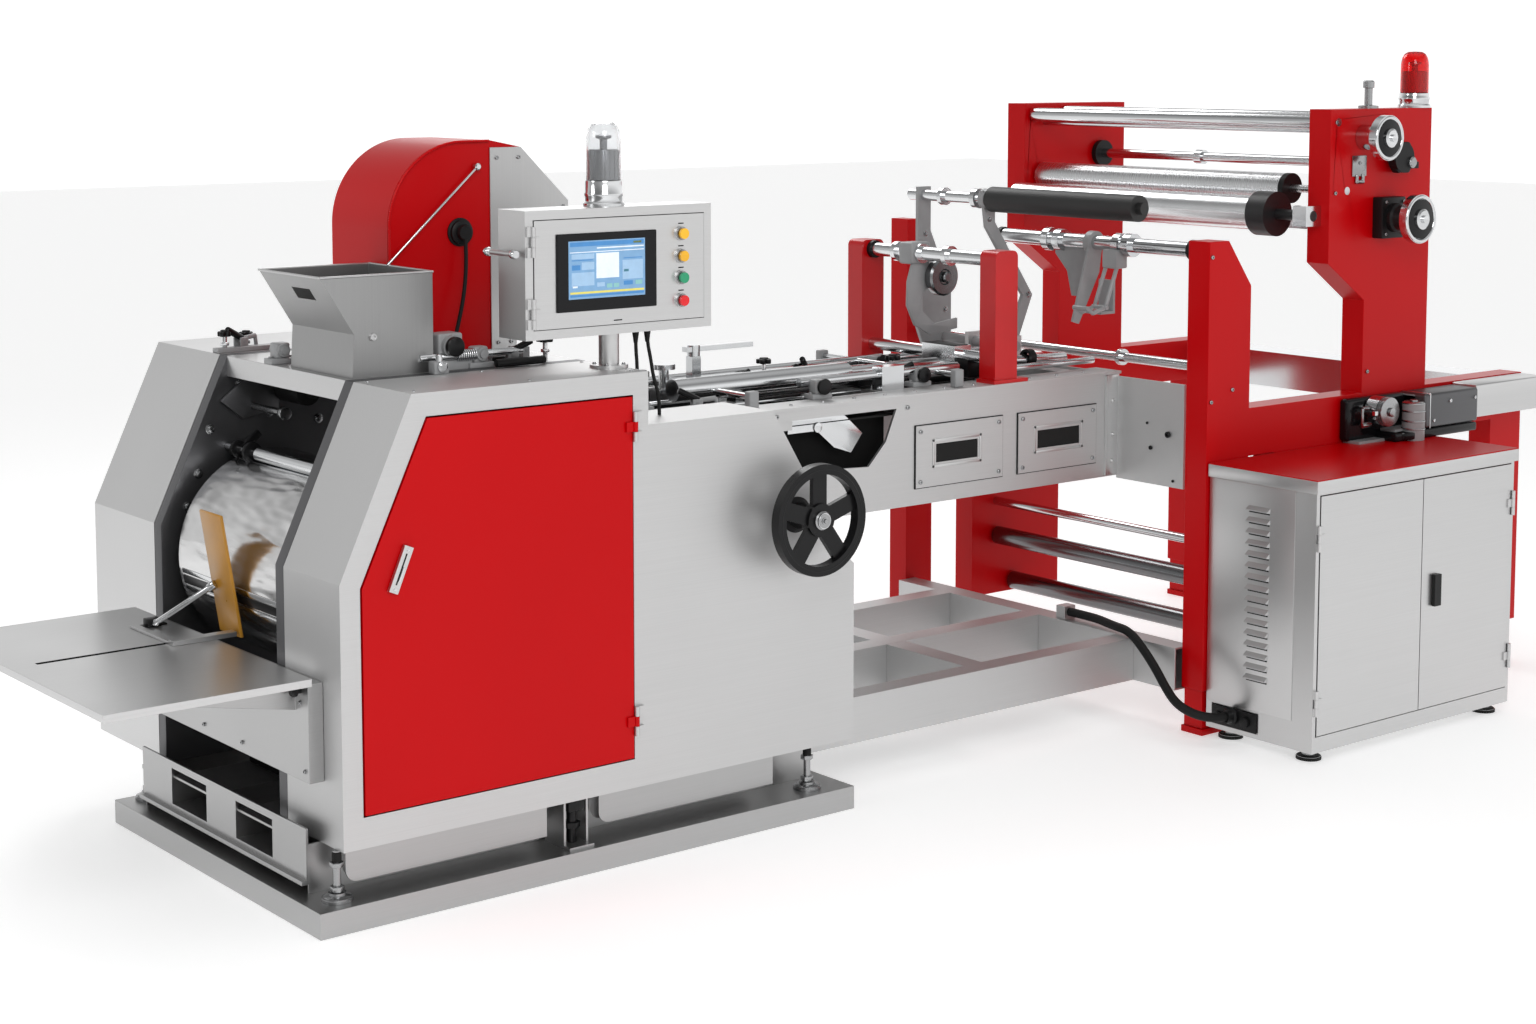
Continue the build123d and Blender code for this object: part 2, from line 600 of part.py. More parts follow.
def make_hopper():
    face = outline(HOPPER_OUTLINE)
    wall = HOPPER_SHEET
    inner = outline([
        (HOPPER_RIM_X - 4 + wall + 1, HOPPER_RIM_Z + 7),
        (HOPPER_BACK_X - wall, HOPPER_RIM_Z + 7),
        (HOPPER_BACK_X - wall, DECK_Z - 1),
        (HOPPER_RIM_X + 81 + wall + 1, DECK_Z - 1),
        (HOPPER_RIM_X + 87 + wall + 1, HOPPER_RIM_Z - 137),
    ])
    funnel = side_plate(face, HOPPER_Y)
    funnel -= side_plate(inner, (HOPPER_Y[0] + wall, HOPPER_Y[1] - wall))
    grip = slab((HOPPER_RIM_X - 29, HOPPER_RIM_X + 81), (430, 520), (HOPPER_RIM_Z - 61, HOPPER_RIM_Z - 33))
    return group(funnel - grip)


GUARD_Y = (560.0, 838.0)
GUARD_X = (514.0, 808.0)
GUARD_TOP = DECK_Z + 543
GUARD_TAIL = [(1046, DECK_Z + 383), (1046, DECK_Z + 288), (885, DECK_Z + 128), (885, DECK_Z)]
GUARD_TAIL_TOP = (902.0, DECK_Z + 524)


def guard_face(shrink):
    """Arched outline that ends in a sloping tail."""
    radius = GUARD_X[1] - 80 - GUARD_X[0]
    left = GUARD_X[0] + shrink
    top = GUARD_TOP - shrink
    centre = (GUARD_X[0] + radius, GUARD_TOP - radius)
    small = radius - shrink
    middle = (centre[0] - small * math.cos(math.pi / 4), centre[1] + small * math.sin(math.pi / 4))
    low = DECK_Z - (1 if shrink else 0)
    tail = [(x - shrink, z) for x, z in GUARD_TAIL[:3]] + [(GUARD_TAIL[3][0] - shrink, low)]
    tail_top = (GUARD_TAIL_TOP[0] - shrink, GUARD_TAIL_TOP[1] - shrink)
    edges = [
        Line((left, low), (left, centre[1])),
        ThreePointArc((left, centre[1]), middle, (centre[0], top)),
        Polyline((centre[0], top), (GUARD_X[1], top), tail_top, *tail, (left, low)),
    ]
    return make_face(edges)


def make_roll_guard():
    body = side_plate(guard_face(0), GUARD_Y)
    body -= side_plate(guard_face(4), (GUARD_Y[0] + 4, GUARD_Y[1] - 4))
    gland = rod_y(GLAND[0], GLAND[2], 30, (GUARD_Y[0] - 14, GUARD_Y[0]))
    gland += rod_y(GLAND[0], GLAND[2], 16, (GUARD_Y[0] - 28, GUARD_Y[0] - 14))
    return group(body + gland)


GLAND = (721.0, 532.0, DECK_Z + 314)


def make_guard_panel():
    y = (GUARD_Y[0] - 4, GUARD_Y[0])
    points = [(GUARD_X[1] + 2, DECK_Z), (GUARD_X[1] + 2, GUARD_TAIL_TOP[1]), GUARD_TAIL_TOP] + GUARD_TAIL
    return group(side_plate(outline(points), y))


# ---------------------------------------------------------------- operator box
OPDOOR_X = (OPBOX_X[0] + OPBOX_BORDER, OPBOX_X[1] - OPBOX_BORDER)
OPDOOR_Z = (OPBOX_Z[0] + OPBOX_BORDER, OPBOX_Z[1] - OPBOX_BORDER)
OPDOOR_HINGE = (OPDOOR_X[0] - HINGE_STEP, OPBOX_Y[0] - HINGE_R)
OPDOOR_HINGE_Z = (OPBOX_Z[0] + 50, OPBOX_Z[1] - 85)


def make_operator_box():
    """Box with a front border, on a round post with a foot flange."""
    box = slab(OPBOX_X, OPBOX_Y, OPBOX_Z)
    inside = OPBOX_SHEET
    box -= slab((OPBOX_X[0] + inside, OPBOX_X[1] - inside), (OPBOX_Y[0] + inside, OPBOX_Y[1] - inside),
                (OPBOX_Z[0] + inside, OPBOX_Z[1] - inside))
    box -= slab((OPDOOR_X[0] - OPDOOR_GAP, OPDOOR_X[1] + OPDOOR_GAP), (OPBOX_Y[0] - 1, OPBOX_Y[0] + inside + 1),
                (OPDOOR_Z[0] - OPDOOR_GAP, OPDOOR_Z[1] + OPDOOR_GAP))
    for z in OPDOOR_HINGE_Z:
        for low in (z - KNUCKLE, z + KNUCKLE + KNUCKLE_GAP):
            span = (low, low + KNUCKLE - KNUCKLE_GAP)
            box += slab((OPDOOR_HINGE[0] - 16, OPDOOR_HINGE[0] - 1), (OPDOOR_HINGE[1], OPBOX_Y[0]), span)
            box += knuckle(OPDOOR_HINGE[0], OPDOOR_HINGE[1], span)
    post = rod_z(OPPOST_X, OPPOST_Y, OPPOST_R, (DECK_Z, OPBOX_Z[0]))
    post += rod_z(OPPOST_X, OPPOST_Y, OPPOST_R + 22, (DECK_Z, DECK_Z + 8))
    rod = rod_y(OPBOX_X[0] - 18, OPBOX_Z[0] + 204, 6, (OPBOX_Y[0] + 30, OPBOX_Y[1] + 10))
    rod += rod_x(OPBOX_Y[0] + 45, OPBOX_Z[0] + 204, 5, (OPBOX_X[0] - 18, OPBOX_X[0]))
    rod += rod_x(OPBOX_Y[1] - 10, OPBOX_Z[0] + 204, 5, (OPBOX_X[0] - 18, OPBOX_X[0]))
    return group(box + rod, post)


def make_operator_door():
    y = (OPBOX_Y[0] - 2, OPBOX_Y[0] - 2 + OPDOOR_THICKNESS)
    door = slab(OPDOOR_X, y, OPDOOR_Z)
    skin = 3.0
    door -= slab((OPDOOR_X[0] + skin, OPDOOR_X[1] - skin), (y[0] + skin, y[1] + 1),
                 (OPDOOR_Z[0] + skin, OPDOOR_Z[1] - skin))
    cut_x = (SCREEN_X[0] + 8, SCREEN_X[1] - 8)
    door -= slab(cut_x, (y[0] - 1, y[0] + skin + 1), (SCREEN_Z[0] + 8, SCREEN_Z[1] - 8))
    for z in BUTTON_Z:
        door += ring_y(BUTTON_X, z, BUTTON_R + 5, BUTTON_R - 3, (y[0] - 5, y[0] + skin))
        door -= rod_y(BUTTON_X, z, BUTTON_R - 4 + RUNNING, (y[0] - 6, y[1]))
    for z in OPDOOR_HINGE_Z:
        door += slab((OPDOOR_HINGE[0] + 1, OPDOOR_HINGE[0] + 20), (OPDOOR_HINGE[1], y[0] + 1), (z, z + KNUCKLE))
        door += knuckle(OPDOOR_HINGE[0], OPDOOR_HINGE[1], (z, z + KNUCKLE))
    return group(door)


def make_touch_screen():
    front = OPBOX_Y[0] - 2
    screen = slab(SCREEN_X, (front - 5, front), SCREEN_Z)
    screen += slab((SCREEN_X[0] + 12, SCREEN_X[1] - 12), (front, front + 40), (SCREEN_Z[0] + 12, SCREEN_Z[1] - 12))
    return group(screen)


def push_button(z):
    """Cap in front of its bezel, with a stem through the door."""
    bezel = OPBOX_Y[0] - 2 - 5
    cap = rod_y(BUTTON_X, z, BUTTON_R, (bezel - BUTTON_TRAVEL - 8, bezel - BUTTON_TRAVEL - 1))
    stem = rod_y(BUTTON_X, z, BUTTON_R - 4, (bezel - BUTTON_TRAVEL - 1, bezel + 24))
    return group(cap + stem)


# ---------------------------------------------------------------- beacons
BEACON_CLEAR = (876.0, 150.0, OPBOX_Z[1], 46.0)
BEACON_RED = (3738.0, -68.0, TOWER_Z[1], 46.0)


def beacon(place, collar, height):
    x, y, z, radius = place
    body = rod_z(x, y, radius + 4, (z, z + 12))
    body += rod_z(x, y, radius, (z, z + collar))
    body += rod_z(x, y, radius - 3, (z + collar, z + height - 30))
    dome = rod_z(x, y, radius - 3, (z + height - 30, z + height))
    return body + fillet(dome.edges().filter_by(GeomType.CIRCLE).sort_by(Axis.Z)[-1:], 24)


def make_beacons():
    return group(beacon(BEACON_CLEAR, 64, 204), beacon(BEACON_RED, 46, 172))


# ---------------------------------------------------------------- forming section
def slot_cover(x, slot_x):
    plate = slab(x, (FORMING_NEAR_Y - 5, FORMING_NEAR_Y), (763, 935))
    hole = slab(slot_x, (FORMING_NEAR_Y - 6, FORMING_NEAR_Y + 1), (828, 880))
    return plate - hole


def forming_rail(near):
    """Side plate with an inward top flange and a bearing boss for the main shaft."""
    if near:
        web = (FORMING_NEAR_Y, FORMING_NEAR_Y + FORMING_WEB)
        flange = (FORMING_NEAR_Y - 8, FORMING_NEAR_Y + FORMING_FLANGE)
        boss = (web[1], web[1] + 16)
    else:
        web = (FORMING_FAR_Y - FORMING_WEB, FORMING_FAR_Y)
        flange = (FORMING_FAR_Y - FORMING_FLANGE, FORMING_FAR_Y + 8)
        boss = (web[0] - 14, web[0])
    start = DECK_BACK_X + 1
    rail = slab((start, FORMING_BACK_X), web, (FORMING_BOTTOM, FORMING_TOP))
    rail += slab((start, FORMING_BACK_X), flange, (FORMING_TOP - 8, FORMING_TOP))
    rail += rod_y(MAIN_X, MAIN_Z, MAIN_SHAFT_R + BOSS_WALL, boss)
    rail -= rod_y(MAIN_X, MAIN_Z, MAIN_SHAFT_R + RUNNING, (web[0] - 30, web[1] + 30))
    if near:
        window = outline([(1500, 856), (1500, 990), (1900, 990), (1862, 903), (1800, 840)])
        rail -= side_plate(window, (web[0] - 1, web[1] + 1))
        for hole in SLOT_HOLES:
            rail -= slab(hole, (web[0] - 1, web[1] + 1), (828, 880))
    return rail


SLOT_COVERS = ((1968.0, 2297.0), (2359.0, 2675.0))
SLOT_HOLES = ((2042.0, 2200.0), (2435.0, 2605.0))
CROSS_MEMBERS = (1480.0, 1960.0, SWING_PIVOT_X - 30.0)


def make_forming_rails():
    pieces = [forming_rail(True), forming_rail(False)]
    inner = (FORMING_NEAR_Y + FORMING_WEB, FORMING_FAR_Y - FORMING_WEB)
    pieces.append(slab((FORMING_BACK_X - 8, FORMING_BACK_X), inner, (FORMING_BOTTOM, FORMING_TOP - 8)))
    stand_side = (STAND_NEAR_Y[1], FORMING_NEAR_Y)
    pieces.append(slab((FORMING_BACK_X - 8, FORMING_BACK_X), stand_side, (FORMING_BOTTOM - 8, FORMING_TOP - 16)))
    for x in CROSS_MEMBERS:
        pieces.append(slab((x, x + 60), inner, (FORMING_TOP - 62, FORMING_TOP - 8.5)))
    for cover, hole in zip(SLOT_COVERS, SLOT_HOLES):
        pieces.append(slot_cover(cover, hole))
    for y in SWING_LUGS_Y:
        lug = slab((SWING_PIVOT_X - 30, SWING_PIVOT_X + 30), y, (FORMING_TOP - 8.5, SWING_PIVOT_Z + 30))
        pieces.append(lug - rod_y(SWING_PIVOT_X, SWING_PIVOT_Z, SWING_TUBE_R + RUNNING, (y[0] - 1, y[1] + 1)))
    return group(*pieces)


SWING_LUGS_Y = ((590.0, 606.0), (760.0, 776.0))


def make_forming_posts():
    """Two posts with rounded tops and feet, and the fixed shaft with its collars."""
    near_y = (FORMING_NEAR_Y + 5, FORMING_NEAR_Y + 5 + POST_DEPTH)
    far_y = (FORMING_FAR_Y - 5 - POST_DEPTH, FORMING_FAR_Y - 5)
    posts = []
    for y in (near_y, far_y):
        post = slab(POST_X, y, (FORMING_TOP, POST_TOP))
        post = fillet(post.edges().filter_by(Axis.Y).sort_by(Axis.Z)[-2:], 18)
        post += slab((POST_X[0] - 10, POST_X[1] + 36), (y[0] - 8, y[1] + 8), (FORMING_TOP, FORMING_TOP + 10))
        posts.append(post)
    x = (POST_X[0] + POST_X[1]) / 2
    span = (near_y[1], far_y[0])
    shaft = rod_y(x, CROSS_SHAFT_Z, CROSS_SHAFT_R, span)
    for y in (470.0, 590.0, 690.0):
        shaft += rod_y(x, CROSS_SHAFT_Z, CROSS_SHAFT_R + 9, (y, y + 18))
    low = rod_y(x, FORMING_TOP + 62, 18, span)
    low += slab((x - 32, x + 32), (420, 560), (FORMING_TOP + 34, FORMING_TOP + 90))
    return group(*posts, shaft, low)


def make_former_tubes():
    """Chrome tubes and rods along the forming section, clamp block and brackets."""
    top = FORMING_TOP - 8.5
    pieces = []
    bearer_x = [x + 30 for x in CROSS_MEMBERS]
    wide = rod_x(450, top + 50, 30, (1300, 1900)) + rod_x(450, top + 50, 18, (1900, 2240))
    for x in bearer_x[:2]:
        wide += slab((x - 14, x + 14), (430, 470), (top, top + 40))
    pieces.append(wide)
    narrow = rod_x(540, top + 34, 13, (1400, 2240))
    for x in bearer_x[:2]:
        narrow += slab((x - 10, x + 10), (530, 550), (top, top + 30))
    pieces.append(narrow)
    block = slab((1930, 2010), (330, 372), (FORMING_TOP, FORMING_TOP + 66))
    block += rod_x(351, FORMING_TOP + 44, 12, (1650, 2230))
    pieces.append(block)
    far = rod_x(700, top + 40, 15, (1380, 2250))
    for x in bearer_x[:2]:
        far += slab((x - 12, x + 12), (688, 712), (top, top + 34))
    pieces.append(far)
    stand = slab((1460, 1560), (600, 660), (top, top + 14))
    stand += slab((1490, 1520), (616, 644), (top + 14, LEVER_Z - 13))
    pieces.append(stand)
    nut = slab((1370, 1430), (600, 650), (FORMING_TOP - 70, FORMING_TOP + 20))
    nut += slab((1370, 1480), (600, 650), (FORMING_TOP - 62, FORMING_TOP - 40))
    nut -= rod_z(KNOB_X, KNOB_Y, 8 + RUNNING, (FORMING_TOP - 30, FORMING_TOP + 30))
    pieces.append(nut)
    return group(*pieces)


KNOB_X = 1400.0
KNOB_Y = 625.0
LEVER_X = 1505.0
LEVER_Y = 630.0
LEVER_Z = 1140.0


def make_forming_knob():
    knob = rod_z(KNOB_X, KNOB_Y, 32, (FORMING_TOP + 74, FORMING_TOP + 88))
    knob += rod_z(KNOB_X, KNOB_Y, 14, (FORMING_TOP + 22, FORMING_TOP + 74))
    knob += rod_z(KNOB_X, KNOB_Y, 8, (FORMING_TOP - 20, FORMING_TOP + 22))
    return group(knob)


def make_forming_lever():
    lever = slab((LEVER_X - 30, LEVER_X + 200), (LEVER_Y - 12, LEVER_Y + 12), (LEVER_Z, LEVER_Z + 14))
    lever += rod_z(LEVER_X, LEVER_Y, 18, (LEVER_Z - 12.5, LEVER_Z + 18))
    return group(lever)


# ---------------------------------------------------------------- swing arm and dancer arm
def make_swing_arm():
    tube = rod_y(SWING_PIVOT_X, SWING_PIVOT_Z, SWING_TUBE_R, (580.0, FORMING_FAR_Y + 30))
    far = outline([
        (RUBBER_X - 26, RUBBER_Z + 26),
        (RUBBER_X + 26, RUBBER_Z + 26),
        (RUBBER_X + 26, RUBBER_Z - 110),
        (SWING_PIVOT_X + 24, SWING_PIVOT_Z + 150),
        (SWING_PIVOT_X + 24, SWING_PIVOT_Z - 22),
        (RUBBER_X, SWING_PIVOT_Z - 22),
        (RUBBER_X - 26, SWING_PIVOT_Z + 40),
    ])
    bent = outline([
        (RUBBER_X - 26, RUBBER_Z + 26),
        (RUBBER_X + 26, RUBBER_Z + 26),
        (RUBBER_X + 26, RUBBER_Z - 70),
        (SWING_PIVOT_X + 96, SWING_PIVOT_Z + 150),
        (SWING_PIVOT_X + 22, SWING_PIVOT_Z - 20),
        (SWING_PIVOT_X - 22, SWING_PIVOT_Z - 20),
        (SWING_PIVOT_X + 56, SWING_PIVOT_Z + 150),
        (RUBBER_X - 10, RUBBER_Z - 84),
    ])
    arms = tube + side_plate(far, (FORMING_FAR_Y + 14, FORMING_FAR_Y + 26)) + side_plate(bent, (612, 624))
    arms += ring_y(RUBBER_X, RUBBER_Z, RUBBER_SHAFT_R + 14, RUBBER_SHAFT_R - 2, (606, 630))
    return group(arms - rod_y(RUBBER_X, RUBBER_Z, RUBBER_SHAFT_R + RUNNING, (590, FORMING_FAR_Y + 60)))


def make_rubber_roller():
    roller = shaft_roller(RUBBER_X, RUBBER_Z, RUBBER_R, RUBBER_Y, RUBBER_SHAFT_R, (RUBBER_Y[0] - 20, 960.0))
    return group(roller)


DANCER_Y = (388.0, 412.0)


def make_dancer_arm():
    """Arm on the web shaft, with a cranked plate near its lower end."""
    arm = outline([
        (WEB_SHAFT_X - 26, WEB_SHAFT_Z + 6),
        (WEB_SHAFT_X + 26, WEB_SHAFT_Z - 6),
        (WEB_SHAFT_X + 14, WEB_SHAFT_Z - 90),
        (WEB_SHAFT_X - 70, WEB_SHAFT_Z - 240),
        (WEB_SHAFT_X - 96, WEB_SHAFT_Z - 232),
    ])
    body = ring_y(WEB_SHAFT_X, WEB_SHAFT_Z, WEB_SHAFT_R + 12, WEB_SHAFT_R - 1, DANCER_Y)
    body += side_plate(arm, (DANCER_Y[0], DANCER_Y[0] + 8))
    body += slab((WEB_SHAFT_X - 40, WEB_SHAFT_X + 20), (DANCER_Y[0] - 60, DANCER_Y[0] + 8),
                 (WEB_SHAFT_Z - 210, WEB_SHAFT_Z - 202))
    body += slab((WEB_SHAFT_X + 12, WEB_SHAFT_X + 20), (DANCER_Y[0] - 60, DANCER_Y[0]),
                 (WEB_SHAFT_Z - 210, WEB_SHAFT_Z - 110))
    return group(body - rod_y(WEB_SHAFT_X, WEB_SHAFT_Z, WEB_SHAFT_R + RUNNING, (DANCER_Y[0] - 80, DANCER_Y[1] + 20)))


# ---------------------------------------------------------------- unwinder stand
GUIDE = (3335.0, 1752.0, 23.0)
FRONT_WEB = (3262.0, 1476.0, 52.0)
REAR_WEB = (3380.0, 1548.0, 45.0)
LOWER_FRONT = (3181.0, 345.0, 30.0)
LOWER_REAR = (3255.0, 182.0, 30.0)


def stand_outline(post):
    x = STAND_FRONT_X
    back = STAND_BACK_X
    low, high = STAND_BEAM_Z
    return [
        (x, STAND_FOOT_Z),
        (x, 1424),
        (x + post * 0.45, 1424),
        (x + post, 1424 - post * 0.74),
        (x + post, high),
        (TOWER_NECK_X, high),
        (TOWER_NECK_X, TOWER_NECK_Z),
        (TOWER_X[0], TOWER_Z[0]),
        (TOWER_X[0], TOWER_Z[1]),
        (TOWER_X[1], TOWER_Z[1]),
        (TOWER_X[1], high),
        (back, high),
        (back, STAND_FOOT_Z),
        (back - 160, STAND_FOOT_Z),
        (back - 160, low),
        (3476, low),
        (3476, 146),
        (3071, 146),
        (3071, low),
        (x + post, low),
        (x + post, STAND_FOOT_Z),
    ]


def stand_frame(y, post):
    """Folded frame plate with inward returns all round, and its foot blocks."""
    face = outline(stand_outline(post))
    frame = side_plate(face, y)
    inner = offset(face, amount=-STAND_SHEET, kind=Kind.INTERSECTION)
    frame -= side_plate(inner, (y[0] + STAND_SHEET, y[1] + 1))
    for x, z, radius in (GUIDE, REAR_WEB, LOWER_FRONT, LOWER_REAR):
        frame -= rod_y(x, z, ROLLER_SHAFT_R + RUNNING, (y[0] - 1, y[0] + STAND_SHEET + 1))
    return frame


def make_stand_frames():
    pieces = [stand_frame(STAND_NEAR_Y, STAND_POST), stand_frame(STAND_FAR_Y, STAND_FAR_POST)]
    for y in (STAND_NEAR_Y, STAND_FAR_Y):
        for x in (STAND_FRONT_X, STAND_BACK_X - 160):
            pieces.append(slab((x + 6, x + 104), (y[0] + 6, y[1] - 6), (18, STAND_FOOT_Z)))
            pieces.append(slab((x, x + 110), y, (0, 18)))
    return group(*pieces)


def make_stand_tie_bars():
    """Fixed bars and cross beams between the two stand frames, and the cantilever web shaft."""
    inner = (STAND_NEAR_Y[0] + STAND_SHEET, STAND_FAR_Y[0])
    pieces = [
        rod_y(3480, TOWER_Z[1] - STAND_SHEET - 20, 18, inner),
        rod_y(3392, 1725, 9, inner),
        rod_y(3660, 1617, 16, inner) + rod_y(3660, 1617, 24, (90.0, 120.0)) + rod_y(3660, 1617, 24, (700.0, 730.0)),
        slab((3400, 3408), inner, (1425, 1458)),
        rod_y(3181, 460, 14, inner),
        tube_beam((STAND_BACK_X - 150, STAND_BACK_X - 12), inner, (806, 926), 5, "y"),
    ]
    web = rod_y(WEB_SHAFT_X, WEB_SHAFT_Z, WEB_SHAFT_R, (inner[0], 779.0))
    for y in (276.0, 520.0):
        web += rod_y(WEB_SHAFT_X, WEB_SHAFT_Z, WEB_SHAFT_R + 11, (y, y + 26))
    pieces.append(web)
    pieces.append(rod_y(WEB_SHAFT_X, 1058, 14, inner))
    near_block = slab((3228, TOWER_X[0]), (STAND_NEAR_Y[0] + 30, STAND_NEAR_Y[1]), (1446, 1506))
    far_block = slab((3228, TOWER_X[0]), (STAND_FAR_Y[0], STAND_FAR_Y[0] + 50), (1446, 1506))
    for block in (near_block, far_block):
        pieces.append(block - rod_y(FRONT_WEB[0], FRONT_WEB[1], 16 + RUNNING, (-200, 1400)))
    return group(*pieces)


def plate_roller(place, y):
    """Roller whose stub shafts turn in the plates of both stand frames."""
    x, z, radius = place
    return group(shaft_roller(x, z, radius, y, ROLLER_SHAFT_R,
                              (STAND_NEAR_Y[0] + 1, STAND_FAR_Y[0] + STAND_SHEET - 1)))


def make_web_roller_front():
    x, z, radius = FRONT_WEB
    roller = rod_y(x, z, radius, (130, STAND_FAR_Y[0] - 12))
    roller += rod_y(x, z, radius + 15, (60, 130))
    roller += rod_y(x, z, 16, (STAND_NEAR_Y[0] + 32, STAND_FAR_Y[0] + 48))
    return group(roller)


TENSION_WHEEL = (3448.0, 1706.0, 67.0)
GUIDE_WHEEL = (3556.0, 1464.0, 73.0)
TENSION_KNOB = (3598.0, 1643.0)


def make_tension_handwheel():
    """Chrome handwheel with a long boss, on a screw through the tower plate."""
    x, z, radius = TENSION_WHEEL
    face = STAND_NEAR_Y[0]
    wheel = dished_handwheel(x, z, radius, (face - 96, face - 1))
    wheel += rod_y(x, z, 38, (face - 60, face - 1))
    return group(wheel)


def make_guide_handwheel():
    x, z, radius = GUIDE_WHEEL
    face = STAND_NEAR_Y[0] - 34
    return group(dished_handwheel(x, z, radius, (face - 100, face - 1)))


def make_tension_knob():
    x, z = TENSION_KNOB
    face = STAND_NEAR_Y[0]
    knob = rod_y(x, z, 46, (face - 40, face - 12)) + rod_y(x, z, 20, (face - 12, face - 1))
    knob += slab((x + 10, x + 68), (face - 40, face - 26), (z - 34, z - 14))
    return group(knob)


def make_web_guide_body():
    """Edge-guide unit on the cabinet: motor box, bearing cylinder, black plate and bracket."""
    y = (-172.0, STAND_NEAR_Y[0] - 4)
    top = CABINET_TOP
    body = slab((3640, 4060), y, (top + 34, top + 128))
    body += slab((3520, 3900), (y[0] - 20, y[1]), (top, top + 34))
    body += rod_z(3590, -205, 34, (top, top + 110))
    body += slab((3380, 3600), (y[1] - 14, y[1]), (top + 4, top + 122))
    body += slab((3380, 3540), (y[1] - 60, y[1]), (top, top + 8))
    square = GUIDE_WHEEL
    plate = slab((square[0] - 54, square[0] + 54), (STAND_NEAR_Y[0] - 34, STAND_NEAR_Y[0]),
                 (square[1] - 60, square[1] + 60))
    crank_hole = rod_y(CRANK[0], CRANK[1], 8 + RUNNING, (y[1] - 20, y[1] + 1))
    return group(body - crank_hole, plate)


CRANK = (3480.0, 888.0)


def make_guide_crank():
    """Disc on a spindle, with a pin and a short crank rod in front."""
    x, z = CRANK
    back = STAND_NEAR_Y[0] - 4 - 14
    crank = rod_y(x, z, 44, (back - 60, back - 20))
    crank += rod_y(x, z, 8, (back - 20, back + 12))
    crank += rod_y(x, z, 10, (back - 74, back - 60))
    crank += slab((x - 64, x + 8), (back - 74, back - 64), (z - 6, z + 6))
    return group(crank)


# ---------------------------------------------------------------- electrical cabinet
CABINET_SEAM_X = 3259.0
CABINET_HINGE_Z = (160.0, 620.0)


def cabinet_hinge_x(left):
    if left:
        return CABINET_X[0] + CABINET_STILE - HINGE_STEP
    return CABINET_X[1] - CABINET_STILE + HINGE_STEP


CABINET_HINGE_Y = CABINET_Y[0] - HINGE_R


def make_cabinet_shell():
    """Sheet cabinet, open at the top under its lid, with the mounting plate inside."""
    top = CABINET_TOP - LID_THICKNESS
    shell = slab(CABINET_X, CABINET_Y, (CABINET_BOTTOM, top))
    inner_y = (CABINET_Y[0] + CABINET_SHEET, CABINET_Y[1] - CABINET_SHEET)
    shell -= slab((CABINET_X[0] + CABINET_SHEET, CABINET_X[1] - CABINET_SHEET), inner_y,
                  (CABINET_BOTTOM + CABINET_SHEET, top + 1))
    shell -= slab((CABINET_X[0] + CABINET_STILE, CABINET_X[1] - CABINET_STILE),
                  (CABINET_Y[0] - 1, CABINET_Y[0] + CABINET_SHEET + 1),
                  (CABINET_DOOR_Z[0] - 3, CABINET_DOOR_Z[1] + 3))
    shell -= slab((CABINET_X[0] - 1, CABINET_X[0] + CABINET_SHEET + 1), (-300, -130), (44, 104))
    for left in (True, False):
        x = cabinet_hinge_x(left)
        leaf = (x - 8, x - 1) if left else (x + 1, x + 8)
        for z in CABINET_HINGE_Z:
            for low in (z - KNUCKLE, z + KNUCKLE + KNUCKLE_GAP):
                span = (low, low + KNUCKLE - KNUCKLE_GAP)
                shell += slab(leaf, (CABINET_HINGE_Y, CABINET_Y[0]), span)
                shell += knuckle(x, CABINET_HINGE_Y, span)
    backplate = slab((CABINET_X[0] + 90, CABINET_X[1] - 90), (CABINET_Y[1] - 30, CABINET_Y[1] - 27), (120, 700))
    feet = [slab((x, x + 20), (CABINET_Y[1] - 27, CABINET_Y[1] - CABINET_SHEET), (z, z + 20))
            for x in (CABINET_X[0] + 100, CABINET_X[1] - 120) for z in (140, 660)]
    socket = slab((CABINET_X[0] + CABINET_SHEET, CABINET_X[0] + 60), (-300, -130),
                  (CABINET_BOTTOM + CABINET_SHEET, 104))
    return group(shell, backplate, socket, *feet)


def make_cabinet_top():
    top = (CABINET_TOP - LID_THICKNESS, CABINET_TOP)
    return group(slab((CABINET_X[0] - 8, CABINET_X[1] + 8), (CABINET_Y[0] - 8, CABINET_Y[1]), top))


def cabinet_door(left):
    y = (CABINET_Y[0] - 2, CABINET_Y[0] - 2 + CABINET_DOOR_THICKNESS)
    if left:
        x = (CABINET_X[0] + CABINET_STILE + 3, CABINET_SEAM_X - CABINET_SEAM / 2)
    else:
        x = (CABINET_SEAM_X + CABINET_SEAM / 2, CABINET_X[1] - CABINET_STILE - 3)
    door = slab(x, y, CABINET_DOOR_Z)
    skin = 2.5
    door -= slab((x[0] + skin, x[1] - skin), (y[0] + skin, y[1] + 1),
                 (CABINET_DOOR_Z[0] + skin, CABINET_DOOR_Z[1] - skin))
    hinge_x = cabinet_hinge_x(left)
    leaf = (hinge_x + 1, hinge_x + 24) if left else (hinge_x - 24, hinge_x - 1)
    for z in CABINET_HINGE_Z:
        door += slab(leaf, (CABINET_HINGE_Y, y[0] + 1), (z, z + KNUCKLE))
        door += knuckle(hinge_x, CABINET_HINGE_Y, (z, z + KNUCKLE))
    if not left:
        door -= rod_y(CABINET_LATCH[0], CABINET_LATCH[1], SPINDLE_R + RUNNING, (y[0] - 1, y[0] + 4))
    return group(door)


CABINET_LATCH = (3323.0, 420.0)


def make_cabinet_handle():
    face = CABINET_Y[0] - 2
    return group(quarter_turn_handle(CABINET_LATCH[0], CABINET_LATCH[1], face, 92, 30, 0, 44))


